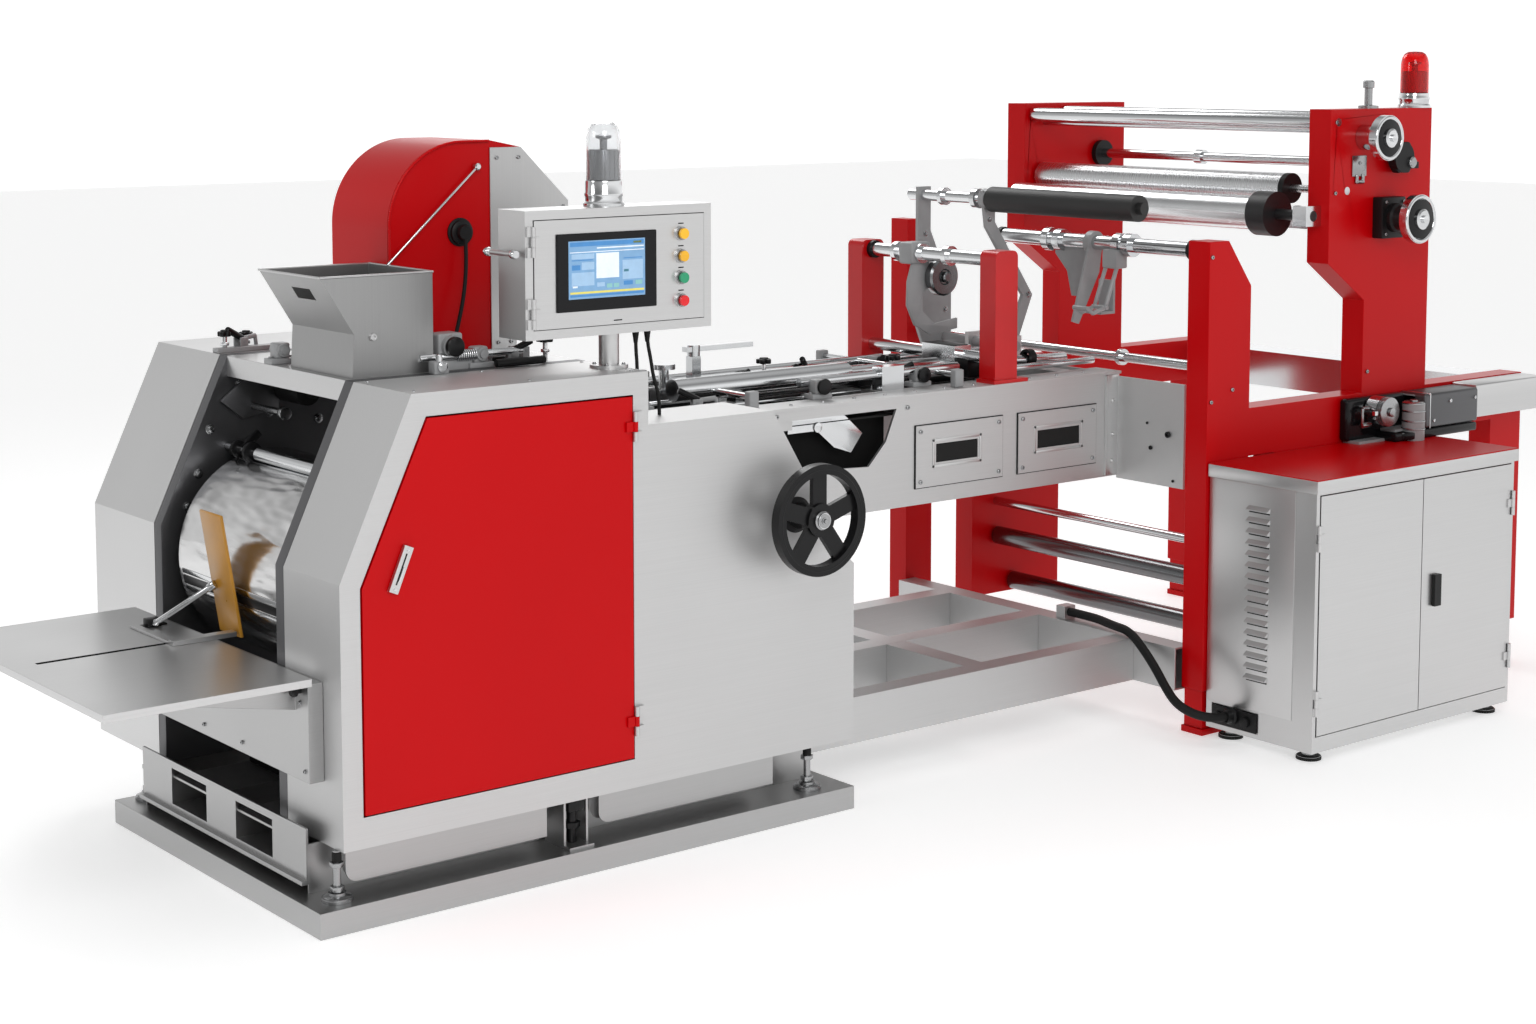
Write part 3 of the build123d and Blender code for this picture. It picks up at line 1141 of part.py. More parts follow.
# ---------------------------------------------------------------- cables and hose
CABLE_ROUTES = {
    "guard_cable": (10.0, [(721, 532, 1490), (720, 528, 1440), (713, 522, 1385), (700, 516, 1330),
                           (684, 512, 1278), (670, 510, 1234), (670, 510, DECK_Z)]),
    "operator_cable_left": (9.0, [(968, 150, OPBOX_Z[0]), (968, 150, 1236), (974, 152, 1188), (971, 150, 1140),
                                  (966, 148, 1100), (966, 148, STEP_Z)]),
    "operator_cable_right": (9.0, [(1003, 150, OPBOX_Z[0]), (1003, 150, 1246), (1014, 151, 1204),
                                   (1020, 149, 1158), (1036, 146, 1110), (1036, 146, STEP_Z)]),
    "hose_long": (26.0, [(2778, HOSE_CLAMP_Y, 269), (2778, 378, 269), (2768, 300, 271), (2750, 225, 268),
                         (2736, 145, 268), (2712, 66, 232), (2686, -8, 190), (2664, -66, 150), (2657, -112, 116),
                         (2676, -158, 93), (2711, -192, 83), (2757, -211, 82), (CABINET_X[0] + 3, -211, 82)]),
}


def bend_radii(points):
    """Largest arc at each corner: 0.45 of the shorter run over the tangent of half the turn."""
    radii = []
    for before, here, after in zip(points, points[1:], points[2:]):
        first = Vector(*here) - Vector(*before)
        second = Vector(*after) - Vector(*here)
        turn = math.radians(first.get_angle(second))
        radii.append(0.45 * min(first.length, second.length) / math.tan(turn / 2))
    return radii


def make_cord(name):
    diameter, points = CABLE_ROUTES[name]
    radii = bend_radii(points)
    path = FilletPolyline(*points, radius=radii)
    section = Plane(origin=points[0], z_dir=path % 0) * Circle(diameter / 2)
    cord = sweep(section, path=path)
    expected = math.pi * (diameter / 2) ** 2 * path.length
    print(name, "radii", [round(r) for r in radii], "length", round(path.length),
          "volume ratio", round(cord.volume / expected, 4))
    return group(cord)


# ---------------------------------------------------------------- write every part
parts["base_plate"] = make_base_plate()
parts["chassis_box"] = make_chassis_box()
parts["chassis_rails"] = make_chassis_rails()
parts["levelling_feet"] = make_levelling_feet()
parts["near_housing"] = make_near_housing()
parts["far_housing"] = make_far_housing()
parts["frame_plates"] = make_frame_plates()
parts["top_deck"] = make_top_deck()
parts["delivery_table"] = make_delivery_table()
parts["front_cover"] = make_front_cover()
parts["hopper"] = make_hopper()
parts["roll_guard"] = make_roll_guard()
parts["guard_panel"] = make_guard_panel()
parts["operator_box"] = make_operator_box()
parts["beacons"] = make_beacons()
parts["forming_rails"] = make_forming_rails()
parts["forming_posts"] = make_forming_posts()
parts["former_tubes"] = make_former_tubes()
parts["stand_frames"] = make_stand_frames()
parts["stand_tie_bars"] = make_stand_tie_bars()
parts["cabinet_shell"] = make_cabinet_shell()
parts["cabinet_top"] = make_cabinet_top()
parts["web_guide_body"] = make_web_guide_body()
parts["main_motor"] = make_main_motor()
parts["drive_belt"] = make_drive_belt()
parts["forming_drum"] = make_forming_drum()
parts["handwheel"] = make_handwheel()
parts["handwheel_shaft"] = make_handwheel_shaft()
parts["side_door"] = make_side_door()
parts["side_door_handle"] = make_side_door_handle()
parts["operator_door"] = make_operator_door()
parts["touch_screen"] = make_touch_screen()
for button, height in zip(("amber_upper", "amber_lower", "green", "red"), BUTTON_Z):
    parts["button_" + button] = push_button(height)
parts["cabinet_door_left"] = cabinet_door(True)
parts["cabinet_door_right"] = cabinet_door(False)
parts["cabinet_handle"] = make_cabinet_handle()
parts["press_roller"] = make_press_roller()
parts["rubber_roller"] = make_rubber_roller()
parts["guide_roller"] = plate_roller(GUIDE, (-20, STAND_FAR_Y[0] - 10))
parts["web_roller_front"] = make_web_roller_front()
parts["web_roller_rear"] = plate_roller(REAR_WEB, (110, STAND_FAR_Y[0] - 10))
parts["lower_roller_front"] = plate_roller(LOWER_FRONT, (-20, STAND_FAR_Y[0] - 10))
parts["lower_roller_rear"] = plate_roller(LOWER_REAR, (-20, STAND_FAR_Y[0] - 10))
parts["swing_arm"] = make_swing_arm()
parts["dancer_arm"] = make_dancer_arm()
parts["tension_handwheel"] = make_tension_handwheel()
parts["guide_handwheel"] = make_guide_handwheel()
parts["tension_knob"] = make_tension_knob()
parts["delivery_paddle"] = make_delivery_paddle()
parts["table_stop"] = make_table_stop()
parts["forming_knob"] = make_forming_knob()
parts["forming_lever"] = make_forming_lever()
parts["guide_crank"] = make_guide_crank()
for cord in CABLE_ROUTES:
    parts[cord] = make_cord(cord)

os.makedirs("parts", exist_ok=True)
origin = Pos(-BASE_LENGTH / 2, -BASE_WIDTH / 2, 0)
for name, shape in parts.items():
    export_step(origin * shape, "parts/" + name + ".step")
print(len(parts), "parts")
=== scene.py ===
"""Paper bag making machine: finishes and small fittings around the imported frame."""
import json
from math import cos, radians, sin, tau

import bmesh
import bpy
from mathutils import Matrix, Vector


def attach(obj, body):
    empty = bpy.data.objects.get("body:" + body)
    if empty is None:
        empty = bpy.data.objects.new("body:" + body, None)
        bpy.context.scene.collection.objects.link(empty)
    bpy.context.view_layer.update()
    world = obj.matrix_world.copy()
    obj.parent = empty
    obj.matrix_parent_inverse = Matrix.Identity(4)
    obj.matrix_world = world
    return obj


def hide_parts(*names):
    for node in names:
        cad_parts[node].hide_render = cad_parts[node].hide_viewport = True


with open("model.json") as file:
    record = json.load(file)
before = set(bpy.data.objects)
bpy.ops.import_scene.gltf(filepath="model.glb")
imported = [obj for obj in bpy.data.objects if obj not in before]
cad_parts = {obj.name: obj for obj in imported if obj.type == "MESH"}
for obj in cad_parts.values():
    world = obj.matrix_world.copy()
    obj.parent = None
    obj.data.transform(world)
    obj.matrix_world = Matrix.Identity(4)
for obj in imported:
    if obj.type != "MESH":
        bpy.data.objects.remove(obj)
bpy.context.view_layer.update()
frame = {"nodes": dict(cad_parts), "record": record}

MM = 0.001
BASE_CENTRE = Vector((775.0, 542.5, 0.0))
FRAME_BODY = "machine_frame"


def spot(x, y, z):
    """A station in millimetres, given in metres in the row frame."""
    return (Vector((x, y, z)) - BASE_CENTRE) * MM


# ---------------------------------------------------------------- camera
CAMERA_STATION = (-2518.8, -4733.7, 1938.5)
CAMERA_AZIMUTH = 38.624
CAMERA_PITCH = 5.528
CAMERA_LENS = 57.689
CAMERA_RISE = -0.14


def place_camera():
    data = bpy.data.cameras.new("machine_camera")
    data.lens = CAMERA_LENS
    data.sensor_width = 36.0
    data.shift_y = CAMERA_RISE
    data.clip_end = 60.0
    camera = bpy.data.objects.new("machine_camera", data)
    camera.location = spot(*CAMERA_STATION)
    camera.rotation_euler = (radians(90 - CAMERA_PITCH), 0, -radians(CAMERA_AZIMUTH))
    bpy.context.scene.collection.objects.link(camera)
    bpy.context.scene.camera = camera


place_camera()


# ---------------------------------------------------------------- materials
def fill(node, values):
    """Constants for a node's input sockets."""
    for key, value in values.items():
        node.inputs[key].default_value = value


class Finish:
    """A node material on Object coordinates, built step by step."""

    def __init__(self, name, colour, metallic=0.0, roughness=0.5):
        self.material = bpy.data.materials.new(name)
        self.material.use_nodes = True
        self.tree = self.material.node_tree
        self.shader = self.tree.nodes["Principled BSDF"]
        self.colour = (*colour, 1.0)
        fill(self.shader, {"Base Color": self.colour, "Metallic": metallic, "Roughness": roughness})
        self.material.diffuse_color = self.colour
        self.place = self.tree.nodes.new("ShaderNodeTexCoord").outputs["Object"]

    def join(self, source, target):
        self.tree.links.new(source, target)

    def noise(self, scale, stretch=(1, 1, 1), detail=3.0, rough=0.5):
        """Noise with a stretch per axis, in waves per metre."""
        mapping = self.tree.nodes.new("ShaderNodeMapping")
        fill(mapping, {"Scale": stretch})
        self.join(self.place, mapping.inputs["Vector"])
        noise = self.tree.nodes.new("ShaderNodeTexNoise")
        fill(noise, {"Scale": scale, "Detail": detail, "Roughness": rough})
        self.join(mapping.outputs["Vector"], noise.inputs["Vector"])
        return noise.outputs["Fac"]

    def spread(self, value, low, high, start=0.15, end=0.85):
        """A value brought to a new range."""
        remap = self.tree.nodes.new("ShaderNodeMapRange")
        fill(remap, {"From Min": start, "From Max": end, "To Min": low, "To Max": high})
        self.join(value, remap.inputs["Value"])
        return remap.outputs["Result"]

    def tint(self, value, dark, light):
        """Base colour that wanders between a darker and a lighter tint."""
        ramp = self.tree.nodes.new("ShaderNodeValToRGB")
        ramp.color_ramp.elements[0].position = 0.2
        ramp.color_ramp.elements[1].position = 0.8
        ramp.color_ramp.elements[0].color = (*[c * dark for c in self.colour[:3]], 1)
        ramp.color_ramp.elements[1].color = (*[min(1, c * light) for c in self.colour[:3]], 1)
        self.join(value, ramp.inputs["Fac"])
        self.join(ramp.outputs["Color"], self.shader.inputs["Base Color"])
        return self

    def rough(self, value, low, high):
        self.join(self.spread(value, low, high), self.shader.inputs["Roughness"])
        return self

    def bump(self, value, strength, depth=0.0005):
        bump = self.tree.nodes.new("ShaderNodeBump")
        fill(bump, {"Strength": strength, "Distance": depth})
        self.join(value, bump.inputs["Height"])
        self.join(bump.outputs["Normal"], self.shader.inputs["Normal"])
        return self

    def set(self, **values):
        fill(self.shader, {key.replace("_", " "): value for key, value in values.items()})
        return self

    def beyond(self, axis, limit, other_colour, other_metallic, other_roughness, above=True):
        """Another finish past a limit along one axis, such as a shaft end beside its sleeve."""
        parts = self.tree.nodes.new("ShaderNodeSeparateXYZ")
        self.join(self.place, parts.inputs["Vector"])
        mask = self.tree.nodes.new("ShaderNodeMath")
        mask.operation = "GREATER_THAN" if above else "LESS_THAN"
        fill(mask, {1: limit})
        self.join(parts.outputs[axis], mask.inputs[0])
        second = self.tree.nodes.new("ShaderNodeBsdfPrincipled")
        fill(second, {"Base Color": (*other_colour, 1), "Metallic": other_metallic,
            "Roughness": other_roughness})
        mix = self.tree.nodes.new("ShaderNodeMixShader")
        out = self.tree.nodes["Material Output"]
        source = out.inputs["Surface"].links[0].from_socket
        self.join(mask.outputs["Value"], mix.inputs["Fac"])
        self.join(source, mix.inputs[1])
        self.join(second.outputs["BSDF"], mix.inputs[2])
        self.join(mix.outputs["Shader"], out.inputs["Surface"])
        return self


def brushed_steel(name, colour=(0.60, 0.60, 0.60), stretch=(3, 620, 620), rough=(0.27, 0.38)):
    """Sheet steel with fine brush lines along the machine."""
    made = Finish(name, colour, 0.95, 0.32)
    lines = made.noise(1.0, stretch, 4.0, 0.6)
    cloud = made.noise(2.2, (1, 1, 1), 2.0)
    made.tint(lines, 0.95, 1.03).rough(cloud, *rough).bump(lines, 0.03, 0.0001)
    return made.material


def powder_coat(name, colour):
    """Glossy powder coat with a light orange peel."""
    made = Finish(name, colour, 0.0, 0.34)
    peel = made.noise(420.0, (1, 1, 1), 2.0)
    cloud = made.noise(1.6, (1, 1, 1), 2.0)
    made.tint(cloud, 0.95, 1.04).rough(cloud, 0.26, 0.36).bump(peel, 0.04, 0.0001)
    return made.set(Specular_IOR_Level=0.14).material


def turned(name, colour, rough, stretch=(40, 900, 40)):
    """Ground or turned metal, with faint rings round its length."""
    made = Finish(name, colour, 1.0, rough)
    rings = made.noise(1.0, stretch, 3.0)
    cloud = made.noise(6.0)
    made.tint(cloud, 0.95, 1.03).rough(rings, rough * 0.92, rough * 1.1)
    return made.material


DARK = 0.03


def moulded(name, colour, rough, grain=700.0, strength=0.08):
    """Moulded plastic or rubber with a fine grain."""
    made = Finish(name, colour, 0.0, rough)
    pits = made.noise(grain, (1, 1, 1), 2.0)
    cloud = made.noise(12.0)
    made.tint(cloud, 0.85, 1.15).rough(cloud, rough * 0.85, min(1.0, rough * 1.15)).bump(pits, strength,
        0.0003)
    if max(colour) < DARK:
        made.set(Specular_IOR_Level=0.24)
    return made.material


def clear(name, colour, rough=0.04):
    """Clear lamp plastic."""
    made = Finish(name, colour, 0.0, rough)
    ribs = made.noise(1.0, (300, 300, 8), 1.0)
    made.rough(made.noise(30.0), rough, rough * 2.5).bump(ribs, 0.08, 0.0004)
    return made.set(Transmission_Weight=0.92, IOR=1.45).material


def lit(name, colour, strength):
    """Screen or lamp surface that gives a little light of its own."""
    made = Finish(name, colour, 0.0, 0.3)
    made.tint(made.noise(60.0), 0.9, 1.08)
    return made.set(Emission_Color=(*colour, 1), Emission_Strength=strength).material


RED = (0.52, 0.0, 0.002)
stainless = brushed_steel("brushed_stainless")
stainless_upright = brushed_steel("brushed_stainless_upright", (0.50, 0.50, 0.50), (620, 620, 3))
satin_stainless = brushed_steel("satin_stainless", (0.60, 0.60, 0.60), (3, 620, 620), (0.46, 0.56))
dark_stainless = brushed_steel("shaded_stainless", (0.13, 0.13, 0.135), rough=(0.36, 0.5))
red_paint = powder_coat("red_powder_coat", RED)
chrome = turned("ground_chrome", (0.66, 0.67, 0.68), 0.15)
turned_steel = turned("turned_steel", (0.36, 0.365, 0.37), 0.26)
roller_aluminium = turned("roller_aluminium", (0.74, 0.75, 0.76), 0.27, (6, 500, 6))
dark_steel = turned("oiled_steel", (0.20, 0.205, 0.21), 0.22)
cast_aluminium = moulded("cast_aluminium", (0.30, 0.305, 0.31), 0.36, 300.0, 0.12)
black_plastic = moulded("black_plastic", (0.007, 0.007, 0.0075), 0.42)
black_gloss = moulded("black_gloss", (0.006, 0.006, 0.007), 0.14, 900.0, 0.02)
black_rubber = moulded("black_rubber", (0.008, 0.008, 0.008), 0.62, 500.0, 0.12)
black_iron = moulded("blackened_iron", (0.006, 0.006, 0.0065), 0.30, 260.0, 0.10)
shade_black = moulded("shade_black", (0.003, 0.003, 0.003), 0.9, 200.0, 0.05)
amber_sheet = moulded("amber_phenolic", (0.50, 0.235, 0.028), 0.30, 500.0, 0.03)
cap_amber = moulded("cap_amber", (0.93, 0.47, 0.02), 0.24, 900.0, 0.01)
cap_green = moulded("cap_green", (0.02, 0.32, 0.15), 0.24, 900.0, 0.01)
cap_red = moulded("cap_red", (0.75, 0.01, 0.015), 0.22, 900.0, 0.01)
clear_dome = clear("clear_lens", (0.95, 0.96, 0.97))
red_dome = clear("red_lens", (0.85, 0.01, 0.012))
lamp_grey = turned("lamp_column", (0.16, 0.165, 0.175), 0.3, (160, 160, 4))
screen_blue = lit("screen_blue", (0.16, 0.31, 0.50), 0.35)
screen_pale = lit("screen_pale", (0.28, 0.43, 0.60), 0.35)
screen_white = lit("screen_white", (0.62, 0.68, 0.74), 0.4)
screen_grey = lit("screen_grey", (0.05, 0.20, 0.45), 0.35)
screen_yellow = lit("screen_yellow", (0.62, 0.55, 0.12), 0.35)
screen_cyan = lit("screen_cyan", (0.20, 0.42, 0.42), 0.35)


def drum_sheet():
    """Bright formed sheet with long soft creases round the drum."""
    made = Finish("drum_sheet", (0.70, 0.70, 0.70), 1.0, 0.2)
    creases = made.noise(3.2, (2.2, 0.6, 2.2), 3.0, 0.6)
    cloud = made.noise(8.0, (1, 0.5, 1))
    made.tint(cloud, 0.92, 1.05).rough(cloud, 0.14, 0.26).bump(creases, 0.8, 0.03)
    return made.material


def two_part(name, build, *zones):
    """A copy of a finish whose ends are of something else."""
    made = Finish(name, *build)
    grain = made.noise(260.0)
    made.tint(made.noise(9.0), 0.92, 1.08).bump(grain, 0.05, 0.0002)
    for axis, limit, colour, metallic, rough, above in zones:
        made.beyond(axis, limit, colour, metallic, rough, above)
    return made.material


def along(y):
    return (y - BASE_CENTRE.y) * MM


STEEL_END = ((0.72, 0.73, 0.74), 1.0, 0.16)
BLACK_END = ((0.012, 0.012, 0.013), 0.0, 0.38)
rubber_roll = two_part("rubber_roll", ((0.012, 0.012, 0.012), 0.0, 0.5), ("Y", along(596.5), *STEEL_END,
    True))
forming_post_red = two_part("forming_post_red", (RED, 0.0, 0.32), ("Y", along(306), *STEEL_END, True),
    ("Y", along(814), RED, 0.0, 0.32, True))
front_roll = two_part("front_roll", ((0.80, 0.81, 0.82), 1.0, 0.24), ("Y", along(130.2), *BLACK_END, False))

by_slot = {"stainless": stainless, "red_paint": red_paint, "polished_chrome": chrome,
    "turned_steel": turned_steel, "roller_aluminium": roller_aluminium, "grey_casting": cast_aluminium,
    "black_plastic": black_plastic, "black_rubber": black_rubber, "amber_phenolic": amber_sheet,
    "beacon_plastic": clear_dome, "button_amber": cap_amber, "button_green": cap_green,
    "button_red": cap_red, "screen_frame": black_gloss,}
shaded_sheet = brushed_steel("shaded_sheet", (0.44, 0.44, 0.44))
by_node = {"forming_drum": drum_sheet(), "rubber_roller": rubber_roll, "web_roller_front": front_roll,
    "handwheel": black_iron, "frame_plates": dark_stainless, "forming_rails": satin_stainless,
    "chassis_rails": satin_stainless, "near_housing": satin_stainless, "forming_posts": forming_post_red,
    "lower_roller_front": dark_steel, "lower_roller_rear": dark_steel,
    "hopper": brushed_steel("hopper_steel", (0.34, 0.34, 0.34), (620, 620, 3)), "front_cover": shaded_sheet,
    "chassis_box": shaded_sheet, "base_plate": shaded_sheet, "guard_panel": stainless_upright,
    "dancer_arm": cast_aluminium, "swing_arm": cast_aluminium,}
EVEN_UP_TO = 47.0
ROUNDED_FROM = 32.0
SHARP_FROM = 34.0
BEVEL_FROM = 0.6
EDGE = {"delivery_table": 0.8, "guard_panel": 0.8, "touch_screen": 2.5, "cabinet_handle": 6.0,
    "side_door": 1.6, "stand_frames": 1.8, "cabinet_shell": 1.4, "operator_box": 1.4,
    "delivery_paddle": 1.5, "web_guide_body": 2.5}


def crisp_shading():
    """Node group that shades a surface evenly up to an edge angle and sharply past it."""
    group = bpy.data.node_groups.new("crisp_shading", "GeometryNodeTree")
    group.interface.new_socket("Geometry", in_out="INPUT", socket_type="NodeSocketGeometry")
    group.interface.new_socket("Geometry", in_out="OUTPUT", socket_type="NodeSocketGeometry")
    start, end = group.nodes.new("NodeGroupInput"), group.nodes.new("NodeGroupOutput")
    angle = group.nodes.new("GeometryNodeInputMeshEdgeAngle")
    limit = group.nodes.new("FunctionNodeCompare")
    limit.operation = "LESS_EQUAL"
    limit.inputs["B"].default_value = radians(EVEN_UP_TO)
    shade = group.nodes.new("GeometryNodeSetShadeSmooth")
    shade.domain = "EDGE"
    group.links.new(angle.outputs["Unsigned Angle"], limit.inputs["A"])
    group.links.new(limit.outputs["Result"], shade.inputs["Shade Smooth"])
    group.links.new(start.outputs["Geometry"], shade.inputs["Geometry"])
    group.links.new(shade.outputs["Geometry"], end.inputs["Geometry"])
    return group


ROUND_NODES = ("web_roller_front", "web_roller_rear", "guide_roller", "lower_roller_front",
    "lower_roller_rear", "stand_tie_bars", "press_roller", "forming_drum", "former_tubes", "rubber_roller",
    "main_motor", "handwheel_shaft", "handwheel", "tension_handwheel", "guide_handwheel", "tension_knob",
    "dancer_arm", "swing_arm", "forming_rails", "near_housing", "far_housing", "forming_posts",
    "forming_knob", "levelling_feet", "drive_belt", "guide_crank", "beacons", "roll_guard", "button_red",
    "button_green", "button_amber_upper", "button_amber_lower")


def finish_frame_nodes():
    """Every CAD node gets its material; all but the round ones also get softened edges and even shading."""
    slots = {part["node"]: part["material_slot"] for part in frame["record"]["subparts"]}
    crisp = crisp_shading()
    for name, node in frame["nodes"].items():
        material = by_node.get(name, by_slot[slots[name]])
        node.data.materials.clear()
        node.data.materials.append(material)
        if name in ROUND_NODES:
            continue
        node.data.polygons.foreach_set("use_smooth", [True] * len(node.data.polygons))
        weld = node.modifiers.new("weld", "WELD")
        weld.merge_threshold = 0.00002
        edge = node.modifiers.new("soft_edges", "BEVEL")
        edge.width = EDGE.get(name, 1.0) * MM
        edge.segments = 2
        edge.limit_method = "ANGLE"
        edge.angle_limit = radians(ROUNDED_FROM)
        node.modifiers.new("crisp_shading", "NODES").node_group = crisp
        even = node.modifiers.new("even_shading", "WEIGHTED_NORMAL")
        even.keep_sharp = True


finish_frame_nodes()


# ---------------------------------------------------------------- shaping
def facing(direction):
    return Vector(direction).to_track_quat("Z", "Y").to_matrix().to_4x4()


SLOT_OF = {material.name: slot for slot, material in by_slot.items()}
SLOT_OF.update({dark_steel.name: "turned_steel", black_iron.name: "black_plastic",
    black_gloss.name: "black_plastic", shade_black.name: "black_plastic", screen_blue.name: "screen_frame"})
NEAR, FAR, UP = (0, -1, 0), (0, 1, 0), (0, 0, 1)


class Piece:
    """One mesh piece, built from bmesh operators at stations in millimetres."""

    every = []

    def __init__(self, name, material, body=FRAME_BODY, slot=None, smooth=True, replaces=None):
        self.name, self.material, self.body = name, material, body
        self.slot = slot or SLOT_OF.get(material.name, "stainless")
        self.smooth, self.replaces = smooth, replaces
        self.mesh = bmesh.new()
        Piece.every.append(self)

    def _bevel(self, verts, amount, segments):
        if amount <= 0:
            return
        edges = {edge for vert in verts for edge in vert.link_edges}
        sharp = [e for e in edges if len(e.link_faces) == 2 and e.calc_face_angle(0) > BEVEL_FROM]
        bmesh.ops.bevel(self.mesh, geom=sharp, offset=amount * MM, offset_type="OFFSET", segments=segments,
            profile=0.5, affect="EDGES", clamp_overlap=True, material=-1)

    def block(self, x, y, z, bevel=1.5, turn=None, segments=2):
        """Box between stations, with rounded edges; turn is (axis, degrees) about its middle."""
        size = Vector((x[1] - x[0], y[1] - y[0], z[1] - z[0])) * MM
        middle = spot((x[0] + x[1]) / 2, (y[0] + y[1]) / 2, (z[0] + z[1]) / 2)
        place = Matrix.Translation(middle)
        if turn:
            place = place @ Matrix.Rotation(radians(turn[1]), 4, turn[0])
        made = bmesh.ops.create_cube(self.mesh, size=1.0, matrix=place @ Matrix.Diagonal((*size, 1)))
        self._bevel(made["verts"], bevel, segments)
        return self

    def pin(self, start, end, radius, bevel=0.8, sides=32, end_radius=None):
        """Round bar from one point to another."""
        a, b = spot(*start), spot(*end)
        run = b - a
        place = Matrix.Translation((a + b) / 2) @ facing(run)
        made = bmesh.ops.create_cone(self.mesh, cap_ends=True, segments=sides, radius1=radius * MM,
            radius2=(radius if end_radius is None else end_radius) * MM, depth=run.length, matrix=place)
        self._bevel(made["verts"], bevel, 2)
        return self

    def lathe(self, centre, direction, profile, steps=48):
        """Turned shape: profile of (radius, height) points about an axis through a point."""
        place = Matrix.Translation(spot(*centre)) @ facing(direction)
        verts = [self.mesh.verts.new((r * MM, 0, h * MM)) for r, h in profile]
        edges = [self.mesh.edges.new(pair) for pair in zip(verts, verts[1:])]
        before = set(self.mesh.verts)
        bmesh.ops.spin(self.mesh, geom=verts + edges, axis=UP, cent=(0, 0, 0), steps=steps, angle=tau,
            use_merge=True)
        fresh = verts + [v for v in self.mesh.verts if v not in before]
        fresh = [v for v in fresh if v.is_valid]
        bmesh.ops.remove_doubles(self.mesh, verts=fresh, dist=0.00001)
        fresh = [v for v in fresh if v.is_valid]
        bmesh.ops.transform(self.mesh, matrix=place, verts=fresh)
        return self

    def ring(self, centre, direction, radius, thick, steps=48, flat=1.0):
        """Round-section ring."""
        sides = 12
        around = [(radius + thick * cos(tau * i / sides),
            thick * flat * sin(tau * i / sides)) for i in range(sides + 1)]
        return self.lathe(centre, direction, around, steps)

    def bolt(self, place, direction, size):
        """Hexagon head on a washer."""
        way = Vector(direction)
        foot = Vector(place)
        self.pin(foot, foot + way * size * 0.16, size * 1.05, 0.2, 24)
        self.pin(foot + way * size * 0.16, foot + way * size * 0.75, size * 0.72, 0.5, 6)
        return self

    def cap_screw(self, place, direction, size):
        """Round head with a hexagon socket."""
        self.lathe(place, direction, [(size, 0), (size, size * 0.7), (size * 0.85, size * 0.85),
            (size * 0.5, size * 0.85), (size * 0.5, size * 0.35), (0, size * 0.35)], 20)
        return self

    def plate(self, points, thickness, direction_axis, bevel=1.0):
        """Flat plate with a straight-edged outline at stations, given a thickness along one axis."""
        verts = [self.mesh.verts.new(spot(*p)) for p in points]
        face = self.mesh.faces.new(verts)
        out = bmesh.ops.extrude_face_region(self.mesh, geom=[face])
        moved = [v for v in out["geom"] if isinstance(v, bmesh.types.BMVert)]
        shift = Vector([thickness * MM if axis == direction_axis else 0 for axis in "xyz"])
        bmesh.ops.translate(self.mesh, vec=shift, verts=moved)
        bmesh.ops.recalc_face_normals(self.mesh, faces=self.mesh.faces[:])
        self._bevel(set(verts) | set(moved), bevel, 2)
        return self

    def done(self):
        bmesh.ops.remove_doubles(self.mesh, verts=self.mesh.verts[:], dist=0.000005)
        bmesh.ops.recalc_face_normals(self.mesh, faces=self.mesh.faces[:])
        data = bpy.data.meshes.new(self.name)
        self.mesh.to_mesh(data)
        self.mesh.free()
        data.materials.append(self.material)
        if self.smooth:
            data.shade_smooth()
            data.set_sharp_from_angle(angle=radians(SHARP_FROM))
        made = bpy.data.objects.new(self.name, data)
        bpy.context.scene.collection.objects.link(made)
        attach(made, self.body)
        if self.replaces:
            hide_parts(self.replaces)


# ---------------------------------------------------------------- cables and hose
CORD_ROUTES = {"guard_cable": (10.0, [(721, 532, 1490), (720, 528, 1440), (713, 522, 1385),
    (700, 516, 1330), (684, 512, 1278), (670, 510, 1234), (670, 510, 1192)]), "operator_cable_left": (9.0,
    [(968, 150, 1280), (968, 150, 1236), (974, 152, 1188), (971, 150, 1140), (966, 148, 1100),
    (966, 148, 1062)]), "operator_cable_right": (9.0, [(1003, 150, 1280), (1003, 150, 1246),
    (1014, 151, 1204), (1020, 149, 1158), (1036, 146, 1110), (1036, 146, 1062)]),
    "hose_long": (26.0, [(2778, 430, 269), (2778, 378, 269), (2768, 300, 271), (2750, 225, 268),
    (2736, 145, 268), (2712, 66, 232), (2686, -8, 190), (2664, -66, 150), (2657, -112, 116),
    (2676, -158, 93), (2711, -192, 83), (2757, -211, 82), (2791, -211, 82)]),}


def lay_cords():
    """Each cable as one smooth curve along its route."""
    for name, (diameter, stations) in CORD_ROUTES.items():
        points = [spot(*p) for p in stations]
        data = bpy.data.curves.new(name + "_line", "CURVE")
        data.dimensions = "3D"
        data.bevel_depth = diameter * MM / 2
        data.bevel_resolution = 6
        data.resolution_u = 16
        data.use_fill_caps = True
        line = data.splines.new("NURBS")
        line.points.add(len(points) - 1)
        for target, point in zip(line.points, points):
            target.co = (*point, 1)
        line.order_u = 3
        line.use_endpoint_u = True
        data.materials.append(black_rubber)
        cord = bpy.data.objects.new(name + "_line", data)
        bpy.context.scene.collection.objects.link(cord)
        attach(cord, FRAME_BODY)
        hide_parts(name)
        bpy.context.view_layer.update()


lay_cords()


